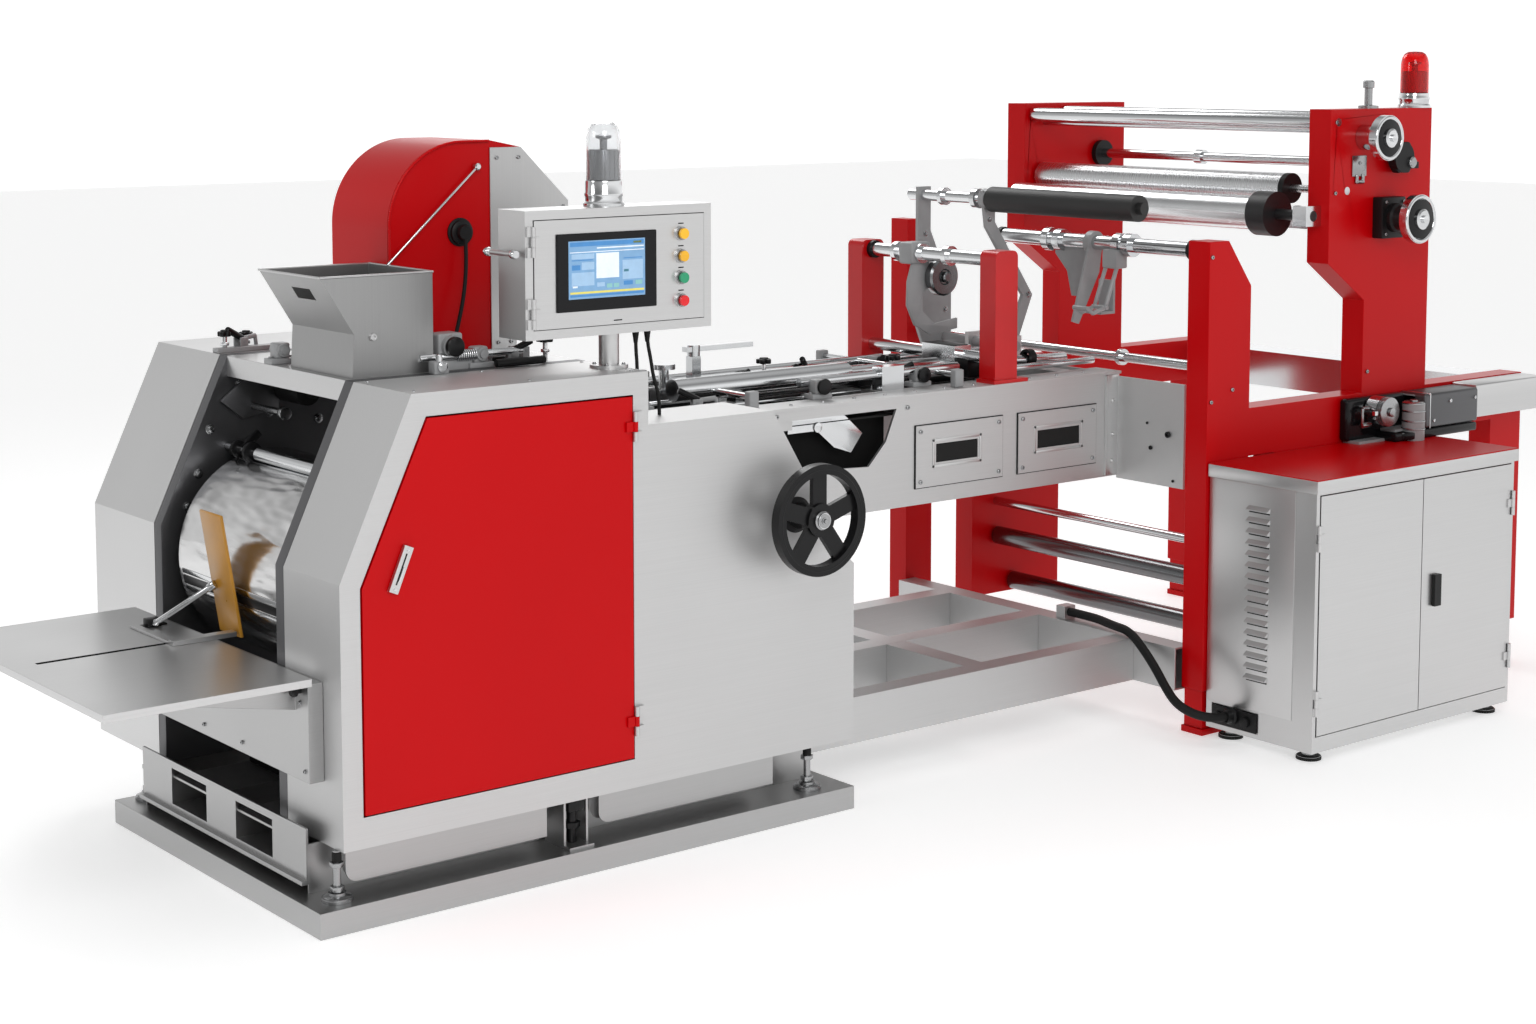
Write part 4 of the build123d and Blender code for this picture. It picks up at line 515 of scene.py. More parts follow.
# ---------------------------------------------------------------- operator panel and beacons
def strain_relief(name, place, direction, radius):
    """Tapered rubber sleeve and nut where a cable leaves its housing."""
    way = Vector(direction)
    at = Vector(place)
    Piece(name, black_rubber).lathe(at, way, [(radius + 1, 0), (radius * 2.2, 0), (radius * 2.2, 6),
        (radius * 1.9, 8), (radius * 1.8, 12), (radius * 1.35, 26), (radius + 0.6, 34), (radius + 0.4, 34)],
        24)


def panel_details():
    door = "operator_door_leaf"
    front = 82.6
    Piece("screen_glass", screen_blue, door).block((727, 949), (front - 0.3, front + 1), (1371, 1509), 0.3)
    for name, material, areas in (("screen_head", screen_white, [((808, 945), (1489, 1492)),
            ((731, 945), (1481, 1483))]), ("screen_bar", screen_grey, [((731, 945), (1496, 1506)),
            ((731, 945), (1376, 1381)), ((736, 796), (1462, 1464)), ((736, 760), (1440, 1452)),
            ((886, 940), (1462, 1464)), ((886, 912), (1398, 1408))]), ("screen_fields", screen_pale,
            [((735, 800), (1466, 1478)), ((764, 800), (1440, 1458)), ((735, 800), (1402, 1434)),
            ((882, 942), (1412, 1458)), ((808, 830), (1398, 1408))]), ("screen_window", screen_white,
            [((806, 872), (1418, 1478)), ((738, 752), (1398, 1404))]), ("screen_keys", screen_cyan,
            [((836, 852), (1394, 1404)), ((856, 872), (1394, 1404)), ((920, 940), (1398, 1408)),
            ((886, 900), (1430, 1436))]), ("screen_foot", screen_yellow, [((731, 945), (1383, 1388)),
            ((914, 938), (1498, 1503))]),):
        piece = Piece(name, material, door, "screen_frame")
        for x, z in areas:
            piece.block(x, (front - 0.9, front), z, 0)
    rings = Piece("button_rings", turned_steel, door)
    for height in (1514, 1459, 1406, 1350):
        rings.lathe((1061, 83, height), NEAR, [(13.6, 0), (16.4, 0), (16.4, 2), (15.6, 3.4), (13.6, 3.4),
            (13.6, 0)], 40)
    tags = Piece("button_tags", black_gloss, door, "screen_frame")
    for height in (1514, 1459, 1406, 1350):
        tags.block((1053, 1069), (87.4, 88.2), (height + 23, height + 26), 0.2)
    tags.block((860, 884), (87.4, 88.2), (1312, 1315), 0.2)
    knobs = Piece("panel_clamp_knobs", chrome)
    for y in (118, 214):
        knobs.lathe((592, y, 1484), (0, -1 if y < 150 else 1, 0), [(0, 0), (9, 0), (11, 4), (11, 14),
            (9, 18), (0, 18)], 28)
    for name, x in (("panel_gland_left", 968), ("panel_gland_right", 1003)):
        strain_relief(name, (x, 150, 1280), (0, 0, -1), 4.5)
    foot = Piece("panel_post_bolts", turned_steel)
    for turn in range(4):
        angle = radians(45 + 90 * turn)
        foot.bolt((888 + 36 * cos(angle), 150 + 36 * sin(angle), 1200), UP, 6)


def beacons():
    """Signal lamps: chrome foot, lens and lamp column."""
    for name, (x, y, z, r, collar, top), lens in (("clear", (876, 150, 1585, 46, 64, 204), clear_dome),
            ("red", (3738, -68, 1790, 46, 46, 172), red_dome),):
        Piece("beacon_foot_" + name, chrome, replaces="beacons" if name == "clear" else None).lathe((x, y,
            z), UP, [(0, 0), (r + 3.8, 0), (r + 3.8, 7), (r + 1, 10), (r - 1, 12), (r - 1, 22), (r + 1, 25),
            (r + 1, 31), (r - 1, 34), (r - 1, collar - 6), (r - 2, collar - 2), (r - 5, collar),
            (0, collar)], 56)
        dome = Piece("beacon_lens_" + name, lens, slot="beacon_plastic")
        outer = [(r - 3.5, collar), (r - 4, top - 40), (r - 7, top - 22), (r - 14, top - 9),
            (r - 24, top - 2.5), (0, top - 1)]
        inner = [(0, top - 5), (r - 25, top - 6.5), (r - 17, top - 12), (r - 10.5, top - 24),
            (r - 7.5, top - 41), (r - 7, collar), (r - 3.5, collar)]
        dome.lathe((x, y, z), UP, outer + inner, 56)
        lamp = Piece("beacon_lamp_" + name, lamp_grey if name == "clear" else cap_red,
            slot="beacon_plastic")
        tall = collar + (top - collar) * 0.52
        lamp.lathe((x, y, z), UP, [(0, collar + 0.5), (r * 0.80, collar + 0.5), (r * 0.80, tall - 4),
            (r * 0.76, tall), (r * 0.2, tall), (r * 0.2, top - 44), (r * 0.42, top - 40),
            (r * 0.42, top - 34), (r * 0.1, top - 30), (0, top - 30)], 40)
        for i in range(18):
            angle = tau * i / 18
            px, py = x + r * 0.80 * cos(angle), y + r * 0.80 * sin(angle)
            lamp.pin((px, py, z + collar + 0.5), (px, py, z + tall - 3), 1.6, 0, 8)


panel_details()
beacons()


# ---------------------------------------------------------------- housings, doors and base
def housing_details():
    latch = Piece("side_latch", chrome, "side_handle")
    lean = radians(23)
    for along_it in (-46, 46):
        latch.cap_screw((226 + along_it * sin(lean), 15.2, 800 + along_it * cos(lean)), NEAR, 3.4)
    latch.block((223.5, 228.5), (12.8, 15.4), (772, 806), 0.8, ("Y", 23))
    # Thin black strip on the door face: painted shade standing in for the latch slot's recess.
    Piece("side_latch_slot_shade", black_plastic, "side_handle").block((224, 228), (14.7, 15.3), (764, 838), 0.2,
        ("Y", 23))
    knobs = Piece("cover_knobs", black_plastic)
    for y in (150, 920):
        knobs.lathe((39, y, 528), (-1, 0, 0), [(0, 0), (7, 0), (7, 8), (13, 11), (13, 20), (9, 24),
            (0, 24)], 28)
    screws = Piece("cover_screws", turned_steel)
    for y in (132, 440, 640, 940):
        screws.cap_screw((39, y, 345), (-1, 0, 0), 5)
    screws.bolt((39, 150, 500), (-1, 0, 0), 6)
    hopper = Piece("hopper_rim", stainless)
    rim = [(209, 340), (510, 340), (510, 645), (209, 645)]
    for a, b in zip(rim, rim[1:] + rim[:1]):
        hopper.pin((*a, 1433), (*b, 1433), 3.0, 0, 12)
    hopper.cap_screw((345, 340, 1287), NEAR, 9)


def louvre(piece, y, z):
    """Pressed louvre on the cabinet's end, open underneath."""
    face = 2786
    piece.plate([(face, y[0], z), (face - 9, y[0] + 4, z + 1), (face - 9, y[0] + 4, z + 4),
        (face, y[0], z + 15)], y[1] - y[0], "y", 0)


def cabinet_details():
    louvres = Piece("cabinet_louvres", stainless_upright, smooth=False)
    # Black strips under each louvre: painted shade in the louvre openings.
    gaps = Piece("cabinet_louvre_painted_shade", black_plastic, smooth=False)
    for i in range(16):
        z = 199 + i * 32.0
        louvre(louvres, (-331, -254), z)
        gaps.block((2784.8, 2786.4), (-329, -256), (z - 4.5, z + 1), 0)
    trim = Piece("cabinet_trim", stainless)
    trim.block((2779, 3704), (-499.6, -497.6), (757, 792), 0.6)
    trim.block((2778.4, 2780.4), (-499.6, -110), (757, 792), 0.6)
    trim.block((2786, 2788.2), (-418, -112), (110, 754), 0.8)
    Piece("cabinet_door_seal", black_rubber).block((3258, 3260), (-489, -478), (80, 746), 0)
    plate = Piece("cabinet_gland_plate", black_plastic)
    plate.block((2781, 2790), (-296, -134), (46, 102), 2)
    plate.lathe((2781, -211, 82), (-1, 0, 0), [(13.5, 0), (25, 0), (25, 10), (20, 14), (17, 30),
        (13.4, 30)], 28)
    plate.pin((2781, -160, 74), (2774, -160, 74), 12, 1, 24)
    plate.pin((2781, -262, 74), (2768, -262, 74), 15, 1, 24)


def base_details():
    nuts = Piece("foot_nuts", turned_steel)
    rubber = Piece("foot_pads", black_rubber)
    for x in (75, 1440):
        for y in (60, 1041):
            nuts.pin((x, y, 82), (x, y, 94), 17, 1, 6)
            nuts.pin((x, y, 138), (x, y, 149), 17, 1, 6)
            nuts.lathe((x, y, 60), UP, [(0, 0.3), (36, 0.3), (36, 7), (30, 12), (14, 14), (0, 14)], 32)
            rubber.lathe((x, y, 150), UP, [(0, 0), (11, 0), (11, 20), (8, 24), (0, 24)], 28)
    for x in (2838, 3645):
        for y in (-440, -159):
            rubber.lathe((x, y, 0), UP, [(0, 0.2), (35.5, 0.2), (35.5, 8), (30, 12), (0, 12)], 32)
    jack = Piece("jack_screw", black_iron, slot="turned_steel")
    jack.pin((707, 60, 68), (707, 60, 150), 12, 1.5, 24)
    jack.pin((707, 60, 104), (707, 60, 118), 22, 1.5, 6)
    jack.block((684, 730), (36, 84), (148, 172), 2)
    # Black sheets at the back of the fork pockets: painted shade in the pocket recesses.
    pockets = Piece("fork_pocket_painted_shade", shade_black)
    for y in ((299, 482), (639, 828)):
        pockets.block((250, 256), y, (105, 193), 0)
    roll = Piece("underbody_roll", stainless)
    roll.pin((120, 96, 128), (640, 96, 128), 30, 3, 48)
    roll.pin((800, 96, 128), (1325, 96, 128), 30, 3, 48)


housing_details()
cabinet_details()
base_details()


# ---------------------------------------------------------------- drum, paddle and mouth
def mouth_details():
    bars = Piece("drum_clamp_bars", black_iron, "drum")
    for degrees in (192, 20, 105):
        angle = radians(degrees)
        x, z = 349 + 250 * cos(angle), 707 + 250 * sin(angle)
        bars.block((x - 2.2, x + 2.2), (356, 870), (z - 11, z + 11), 0.8, ("Y", -degrees))
    strips = Piece("drum_edge_strips", chrome, "drum")
    for degrees in (187, 197, 15, 25, 100, 110):
        angle = radians(degrees)
        x, z = 349 + 250.4 * cos(angle), 707 + 250.4 * sin(angle)
        strips.block((x - 1.6, x + 1.6), (356, 870), (z - 6, z + 6), 0.6, ("Y", -degrees))
    clamps = Piece("press_roller_arms", black_iron)
    for y in (341, 880):
        clamps.pin((262, y - 5, 963), (262, y + 5, 963), 22, 1.5, 32)
        clamps.block((252, 330), (y - 6, y + 6), (966, 986), 2, ("Y", -38))
    clamps.pin((262, 800, 963), (262, 812, 963), 26, 1.5, 32)
    inner = Piece("mouth_roller", black_rubber)
    inner.pin((420, 800, 1100), (420, 938, 1100), 34, 4, 40)
    inner.pin((420, 770, 1100), (420, 800, 1100), 12, 1, 24)
    bolts = Piece("mouth_bolts", turned_steel)
    for x, z in ((180, 900), (215, 1010), (300, 1120), (380, 1040), (470, 1120), (150, 820), (520, 1010)):
        bolts.bolt((x, 939.8, z), NEAR, 12)
    for x, z in ((150, 860), (200, 1000)):
        bolts.bolt((x, 332.2, z), FAR, 10)
    bolts.pin((330, 760, 1060), (330, 939, 1060), 9, 1, 20)
    bolts.pin((330, 752, 1060), (330, 770, 1060), 17, 2, 28)
    plates = Piece("mouth_brackets", dark_stainless)
    plates.plate([(240, 925, 1080), (330, 925, 1150), (420, 925, 1150), (400, 925, 1050), (300, 925, 1030)],
        10, "y")
    plates.plate([(300, 348, 1090), (380, 348, 1160), (450, 348, 1160), (420, 348, 1070)], 8, "y")


def paddle():
    """Amber paddle on its chrome rod."""
    Piece("amber_paddle", amber_sheet, "paddle", replaces="delivery_paddle").plate([(92, 545, 566),
        (100, 545, 566), (53, 545, 864), (50, 545, 866), (47, 545, 866), (45, 545, 863)], 110, "y", 1.4)
    rod = Piece("paddle_rod", chrome, "paddle")
    rod.pin((-26, 756, 582), (66, 633, 682), 7, 1, 28)
    rod.pin((60, 641, 675), (70, 628, 686), 11, 1.5, 28)
    rod.lathe((-26, 756, 582), (-0.5, 0.67, -0.54), [(0, -9), (7, -6), (9, 0), (7, 6), (0, 9)], 28)
    foot = Piece("paddle_foot", black_iron)
    foot.block((-44, -8), (762, 790), (570, 590), 2)
    foot.block((-60, 10), (770, 792), (570, 574), 1)


mouth_details()
paddle()


# ---------------------------------------------------------------- guard and deck fittings
def guard_details():
    rim = Piece("guard_rim", red_paint)
    angles = [radians(180 - 6 * i) for i in range(16)]
    arc = [(728 + 212 * cos(a), 554, 1521 + 212 * sin(a)) for a in angles]
    route = [(516, 554, 1194), *arc, (806, 554, 1733)]
    for a, b in zip(route, route[1:]):
        rim.pin(a, b, 3.4, 0, 10)
    Piece("guard_gland", black_plastic).lathe((721, 560, 1506), NEAR, [(0, 0), (36, 0), (36, 4), (30.5, 6),
        (30.5, 14.5), (24, 18), (20, 18), (17, 29), (0, 29)], 44)
    hub = Piece("guard_screws", turned_steel)
    for x, z in ((830, 1690), (830, 1220), (868, 1220), (1030, 1560), (895, 1690)):
        hub.cap_screw((x, 556, z), NEAR, 5)
    rod = Piece("sheet_rod", chrome)
    rod.pin((506, 548, 1434), (768, 548, 1669), 3.2, 0.4, 16)
    rod.lathe((768, 556, 1669), NEAR, [(0, 0), (9, 0), (9, 12), (6, 15), (0, 15)], 24)


def star_knob(metal, black, x, y, z, height, size=20):
    """Threaded post with a lobed knob."""
    metal.pin((x, y, z), (x, y, z + height), 6, 0.5, 18)
    metal.pin((x, y, z + height * 0.4), (x, y, z + height * 0.4 + 9), 11, 0.8, 6)
    for i in range(5):
        angle = tau * i / 5
        black.pin((x + size * 0.6 * cos(angle), y + size * 0.6 * sin(angle), z + height),
            (x + size * 0.6 * cos(angle), y + size * 0.6 * sin(angle), z + height + 13), size * 0.42, 2.0,
            16)
    black.pin((x, y, z + height), (x, y, z + height + 17), size * 0.6, 2, 24)


def toggle_clamp(metal, black, x, y, z, turn):
    """Base, side cheeks and a bent lever with a grip."""
    c, s = cos(radians(turn)), sin(radians(turn))

    def to(a, b, h):
        return (x + a * c - b * s, y + a * s + b * c, z + h)

    metal.block((x - 24, x + 24), (y - 16, y + 16), (z, z + 6), 1.5, ("Z", turn))
    for side in (-11, 11):
        metal.block((x - side * s - 14, x - side * s + 14), (y + side * c - 2.5, y + side * c + 2.5),
            (z + 4, z + 34), 2, ("Z", turn))
    metal.pin(to(0, -15, 26), to(0, 15, 26), 5, 0.8, 18)
    metal.pin(to(-4, 0, 28), to(52, 0, 34), 6.5, 1, 18)
    metal.pin(to(52, 0, 34), to(56, 0, 8), 5, 1, 18)
    black.pin(to(6, 0, 30), to(-50, 0, 58), 8.5, 3, 20)


def bearing_block(metal, x, y, z, along="x", size=1.0):
    """Block with a bored cheek, shaft collar and two bolts."""
    k = size
    metal.block((x - 34 * k, x + 34 * k), (y - 20 * k, y + 20 * k), (z, z + 14 * k), 2)
    metal.block((x - 20 * k, x + 20 * k), (y - 17 * k, y + 17 * k), (z + 12 * k, z + 52 * k), 6, segments=3)
    way = (1, 0, 0) if along == "x" else FAR
    collar = [(0, -30), (10, -30), (10, -24), (16, -24), (16, 24), (10, 24), (10, 30), (0, 30)]
    metal.lathe((x, y, z + 34 * k), way, [(r * k, h * k) for r, h in collar], 32)
    for side in (-27 * k, 27 * k):
        metal.bolt((x + side, y, z + 14 * k), UP, 6)


def deck_fittings():
    metal = Piece("deck_fittings", cast_aluminium)
    bright = Piece("deck_chrome", chrome)
    black = Piece("deck_black", black_iron)
    deck = 1192
    star_knob(bright, black, 300, 1020, deck, 40, 18)
    star_knob(bright, black, 380, 1060, deck, 30, 18)
    toggle_clamp(metal, black, 350, 1030, deck, 20)
    metal.block((270, 470), (1000, 1030), (deck, deck + 12), 2)
    bearing_block(metal, 300, 720, deck, "y")
    bearing_block(metal, 560, 372, deck, "y", 1.7)
    black.lathe((560, 328, deck + 58), NEAR, [(0, 0), (24, 0), (24, 10), (17, 14), (0, 14)], 36)
    bearing_block(metal, 640, 350, deck, "y")
    bright.pin((470, 340, deck + 34), (760, 340, deck + 34), 9, 1, 24)
    for i in range(9):
        bright.ring((575 + i * 6, 340, deck + 34), (1, 0, 0), 13, 2.2, 24)
    bright.pin((500, 300, deck), (500, 300, deck + 46), 8, 1, 20)
    metal.block((480, 520), (286, 316), (deck, deck + 30), 3)
    bright.lathe((500, 285, deck + 18), NEAR, [(0, 0), (13, 0), (13, 5), (8, 9), (0, 9)], 24)
    toggle_clamp(metal, black, 735, 345, deck, 160)
    toggle_clamp(metal, black, 800, 400, deck, 200)
    star_knob(bright, black, 855, 380, deck, 44, 22)
    black.block((690, 760), (380, 420), (deck, deck + 16), 2)
    black.pin((660, 300, deck + 12), (800, 300, deck + 12), 10, 2, 24)
    for x in (690, 770):
        bright.bolt((x, 330, deck), UP, 8)
    for x, y in ((290, 60), (290, 270), (890, 60), (890, 270), (600, 60), (600, 270)):
        bright.cap_screw((x, y, deck - 1.5), UP, 4.5)


guard_details()
deck_fittings()


# ---------------------------------------------------------------- forming section
def forming_fittings():
    metal = Piece("forming_fittings", cast_aluminium)
    bright = Piece("forming_chrome", chrome)
    black = Piece("forming_black", black_iron)
    belts = Piece("forming_belts", black_rubber)
    top = 1026
    plate = 1017
    spans = ((928, 1478), (1542, 1958), (2022, 2658))
    for x in spans:
        for y in ((262, 330), (350, 428), (472, 524), (556, 596), (662, 686), (716, 800), (812, 862)):
            belts.block(x, y, (968, 974), 1.5)
        black.block(x, (436, 464), (980, 1000), 2)
        black.block(x, (604, 650) if x[0] > 1600 else (660, 690), (984, 1002), 2)
    bright.block((940, 1900), (384, 390), (plate - 2, plate + 10), 1)
    bright.block((1000, 2240), (500, 505), (plate - 2, plate + 18), 1)
    black.block((1000, 1460), (400, 478), (plate - 12, plate + 2), 2)
    black.block((1560, 2240), (590, 672), (plate - 16, plate + 2), 2)
    for x, y, h in ((1010, 300, 70), (1180, 420, 92), (2120, 500, 56), (1760, 640, 60)):
        star_knob(bright, black, x, y, top, h, 22)
        metal.block((x - 26, x + 26), (y - 20, y + 20), (top - 8, top + 14), 3)
    for x, y, turn in ((1100, 340, 15), (1290, 330, -20), (1590, 560, 170), (1850, 560, 10),
            (2060, 420, 150), (1960, 700, 40)):
        toggle_clamp(metal, black, x, y, top, turn)
    for x, y in ((1240, 560), (1700, 330), (2180, 640), (2080, 350)):
        bearing_block(metal, x, y, top, "y")
        black.pin((x, y - 32, top + 34), (x, y - 22, top + 34), 22, 2, 36)
    for x in (1420, 2150):
        bright.pin((x, 262, top + 34), (x, 858, top + 34), 8, 1, 22)
        for y in (262, 850):
            metal.block((x - 16, x + 16), (y - 10, y + 14), (top, top + 50), 4, segments=3)
    for x in range(1000, 2760, 110):
        bright.cap_screw((x, 262, top), UP, 5)
        bright.cap_screw((x, 858, top), UP, 5)
    black.block((1930, 2060), (430, 520), (top, top + 42), 4)
    black.block((2300, 2460), (380, 460), (top, top + 60), 5)
    black.block((2420, 2620), (520, 560), (top - 6, top + 26), 4)
    metal.block((2400, 2470), (560, 640), (top - 8, top + 24), 3)
    bright.pin((2240, 450, top + 34), (2760, 450, top + 20), 16, 1.5, 32)
    bright.pin((2240, 700, top + 30), (2760, 700, top + 24), 12, 1.5, 32)
    bright.pin((2360, 330, top + 24), (2760, 330, top + 24), 10, 1.5, 28)
    for x in (2460, 2600):
        black.lathe((x, 450, top + 30), (1, 0, 0), [(17, 0), (26, 0), (26, 22), (17, 22)], 32)


def rail_details():
    screws = Piece("rail_screws", turned_steel)
    for low, high in ((1968, 2297), (2359, 2675)):
        for x in (low + 16, high - 16):
            for z in (779, 919):
                screws.cap_screw((x, 231, z), NEAR, 6)
    for x, z in ((1940, 990), (1480, 1005)):
        screws.cap_screw((x, 235.8, z), NEAR, 6)
    for y, z in ((290, 960), (290, 800), (560, 980), (830, 960), (830, 800)):
        screws.bolt((2775, y, z), (1, 0, 0), 8)
    gaskets = Piece("cover_gaskets", black_rubber)
    for low, high in ((1968, 2297), (2359, 2675)):
        gaskets.block((low - 2.5, high + 2.5), (233, 236), (760.5, 937.5), 0)
    trims = Piece("slot_trims", stainless)
    for x, z in (((2028, 2214), (814, 894)), ((2421, 2619), (814, 894))):
        trims.block(x, (229.4, 231.4), (z[0], z[0] + 8), 1)
        trims.block(x, (229.4, 231.4), (z[1] - 8, z[1]), 1)
        trims.block((x[0], x[0] + 8), (229.4, 231.4), z, 1)
        trims.block((x[1] - 8, x[1]), (229.4, 231.4), z, 1)
    # Black sheets behind the window and the slot openings: painted shade inside the rail.
    backs = Piece("slot_painted_shade", shade_black)
    backs.block((1490, 1910), (300, 306), (760, 1000), 0)
    for x in ((2036, 2206), (2429, 2611)):
        backs.block(x, (244.5, 250), (816, 892), 0)
    window = Piece("window_bracket", chrome)
    window.plate([(1540, 262, 1000), (1720, 262, 1000), (1800, 262, 930), (1760, 262, 880),
        (1700, 262, 900), (1640, 262, 950), (1540, 262, 950)], 8, "y", 1.5)
    window.pin((1640, 256, 960), (1640, 300, 960), 14, 2, 28)
    studs = Piece("end_plate_studs", black_iron)
    for y, z, size in ((33, 860, 9), (100, 814, 6), (115, 885, 4), (13, 727, 4)):
        studs.cap_screw((2767, y, z), (-1, 0, 0), size)
    angle = Piece("end_angle", stainless)
    angle.block((2715, 2723), (228, 236), (720, 1016), 1)
    angle.block((2723, 2771), (232.5, 236), (720, 1016), 1)
    for z in (760, 840, 940):
        angle.cap_screw((2745, 232.5, z), NEAR, 6)


def shaft_fittings():
    """Collars, hangers and plates on the cross shaft and on the cantilever web shaft."""
    collars = Piece("shaft_collars", chrome)
    collars.lathe((2317, 640, 1372), FAR, [(20, 0), (31, 0), (31, 16), (20, 16)], 36)
    for y in (234, 566):
        collars.lathe((2830, y, 1392), FAR, [(22, 0), (35, 0), (35, 26), (22, 26)], 36)
    collars.lathe((2830, 270, 1058), FAR, [(14, 0), (24, 0), (24, 16), (14, 16)], 32)
    collars.lathe((2600, 650, 1520), FAR, [(17, 0), (30, 0), (30, 20), (17, 20)], 36)
    collars.lathe((2600, 800, 1520), FAR, [(17, 0), (27, 0), (27, 16), (17, 16)], 36)
    caps = Piece("shaft_caps", black_plastic)
    caps.lathe((2830, 779, 1392), FAR, [(0, 0), (26, 0), (26, 16), (22, 20), (0, 20)], 36)
    caps.lathe((2830, -24, 1392), FAR, [(22, 0), (30, 0), (30, 34), (22, 34)], 36)
    caps.lathe((2317, 306, 1372), FAR, [(20, 0), (26, 0), (26, 12), (20, 12)], 36)
    caps.lathe((2317, 800, 1372), FAR, [(20, 0), (26, 0), (26, 14), (20, 14)], 36)
    caps.lathe((3660, 1150, 1617), FAR, [(16, 0), (44, 0), (44, 18), (16, 18)], 40)
    caps.block((2286, 2348), (424, 556), (1058, 1118), 5)
    hanger = Piece("cross_shaft_hanger", cast_aluminium)
    hanger.block((2280, 2356), (600, 660), (1340, 1404), 8, segments=3)
    hanger.plate([(2290, 606, 1345), (2352, 606, 1345), (2392, 606, 1300), (2330, 606, 1250),
        (2330, 606, 1200), (2380, 606, 1160), (2470, 606, 1172), (2470, 606, 1140), (2360, 606, 1128),
        (2300, 606, 1160), (2270, 606, 1220), (2272, 606, 1290)], 10, "y", 2.5)
    disc = Piece("cross_shaft_disc", dark_steel)
    disc.lathe((2386, 596, 1300), NEAR, [(0, -6), (52, -6), (56, 0), (56, 20), (50, 25), (24, 25), (20, 21),
        (0, 21)], 48)
    disc.lathe((2386, 575, 1300), NEAR, [(0, 0), (16, 0), (16, 14), (12, 18), (0, 18)], 32)
    brackets = Piece("web_shaft_brackets", cast_aluminium)
    brackets.plate([(2830, 560, 1380), (2830, 428, 1380), (2830, 424, 1340), (2830, 428, 1270),
        (2830, 450, 1225), (2830, 490, 1225), (2830, 510, 1300), (2830, 560, 1350)], 7, "x", 1.5)
    for y in (274, 318):
        brackets.pin((2800, y, 1330), (2752, y, 1210), 6, 0.8, 16)
        brackets.pin((2752, y, 1210), (2700, y, 1196), 6, 0.8, 16)
        brackets.pin((2700, y, 1196), (2672, y, 1212), 6, 0.8, 16)
    brackets.pin((2752, 266, 1210), (2752, 325, 1210), 7, 0.8, 18)
    brackets.pin((2672, 266, 1212), (2672, 325, 1212), 7, 0.8, 18)
    brackets.block((2788, 2836), (266, 325), (1322, 1378), 5)
    gusset = Piece("swing_arm_bolts", turned_steel, "swing")
    for x, z in ((2600, 1520), (2605, 1400), (2690, 1160), (2690, 1072)):
        gusset.bolt((x, 897.8, z), NEAR, 9)
    for x, z in ((2602, 1460), (2768, 1222), (2690, 1090)):
        gusset.bolt((x, 611.8, z), NEAR, 9)


forming_fittings()
rail_details()
shaft_fittings()


# ---------------------------------------------------------------- stand
def stand_details():
    bolts = Piece("stand_bolts", turned_steel)
    face = -105
    for x, z in ((3321, 1752), (3321, 1543), (2784, 1380), (2776 + 12, 967), (2878, 996), (3760, 1500),
            (3490, 1000)):
        bolts.cap_screw((x, face, z), NEAR, 6)
    bolts.lathe((3520, -65, 1790), UP, [(0, 0), (30, 0), (30, 8), (12, 11), (12, 60), (17, 62), (17, 80),
        (13, 84), (0, 84)], 28)
    bracket = Piece("tension_bracket", turned_steel)
    bracket.block((3396, 3462), (-110, -105), (1590, 1652), 2)
    bracket.pin((3416, -109, 1596), (3416, -109, 1572), 6, 1, 20)
    bracket.pin((3444, -109, 1596), (3444, -109, 1572), 6, 1, 20)
    bracket.pin((3412, -109, 1574), (3448, -109, 1574), 6, 1, 20)
    bracket.cap_screw((3429, -110, 1630), NEAR, 5)
    for name, body, (x, z), front, radius in (("tension_wheel", "tension_wheel", (3448, 1706), -201, 67),
            ("guide_wheel", "guide_wheel", (3556, 1464), -239, 73),):
        Piece(name + "_dish", black_gloss, body).lathe((x, front + 1, z), NEAR,
            [(0, 0), (radius * 0.80, 0), (radius * 0.80, 2.2), (radius * 0.76, 3), (0, 3)], 56)
        boss = Piece(name + "_boss", chrome, body)
        boss.lathe((x, front - 1, z), NEAR, [(0, 0), (radius * 0.42, 0), (radius * 0.42, 8),
            (radius * 0.34, 12), (radius * 0.16, 12), (radius * 0.16, 18), (radius * 0.08, 20), (0, 20)],
            40)
        boss.ring((x, front + 2, z), NEAR, radius - 7, 6.2, 64)
    sleeve = Piece("guide_wheel_sleeve", black_plastic)
    sleeve.block((3500, 3612), (-143, -103), (1402, 1526), 5)
    sleeve.lathe((3556, -139, 1464), NEAR, [(0, 0), (44, 0), (44, 20), (38, 26), (32, 60), (0, 60)], 40)
    plugs = Piece("guide_wheel_screws", turned_steel)
    for x in (3514, 3598):
        for z in (1416, 1512):
            plugs.cap_screw((x, -143, z), NEAR, 5)
    lobes = Piece("tension_knob_lobes", black_plastic, "knob_tension")
    for i in range(6):
        angle = tau * i / 6
        lobes.pin((3598 + 40 * cos(angle), -143, 1643 + 40 * sin(angle)), (3598 + 40 * cos(angle), -119,
            1643 + 40 * sin(angle)), 12, 3, 20)
    Piece("tension_knob_tip", turned_steel, "knob_tension").lathe((3630, -145, 1628), NEAR,
        [(0, 0), (17, 0), (17, 6), (13, 10), (0, 10)], 28)
    Piece("roller_ends", black_plastic, "web_roll_rear").lathe((3380, 108, 1548), FAR,
        [(12.5, -6), (46, -6), (46, 14), (45.2, 14)], 48)


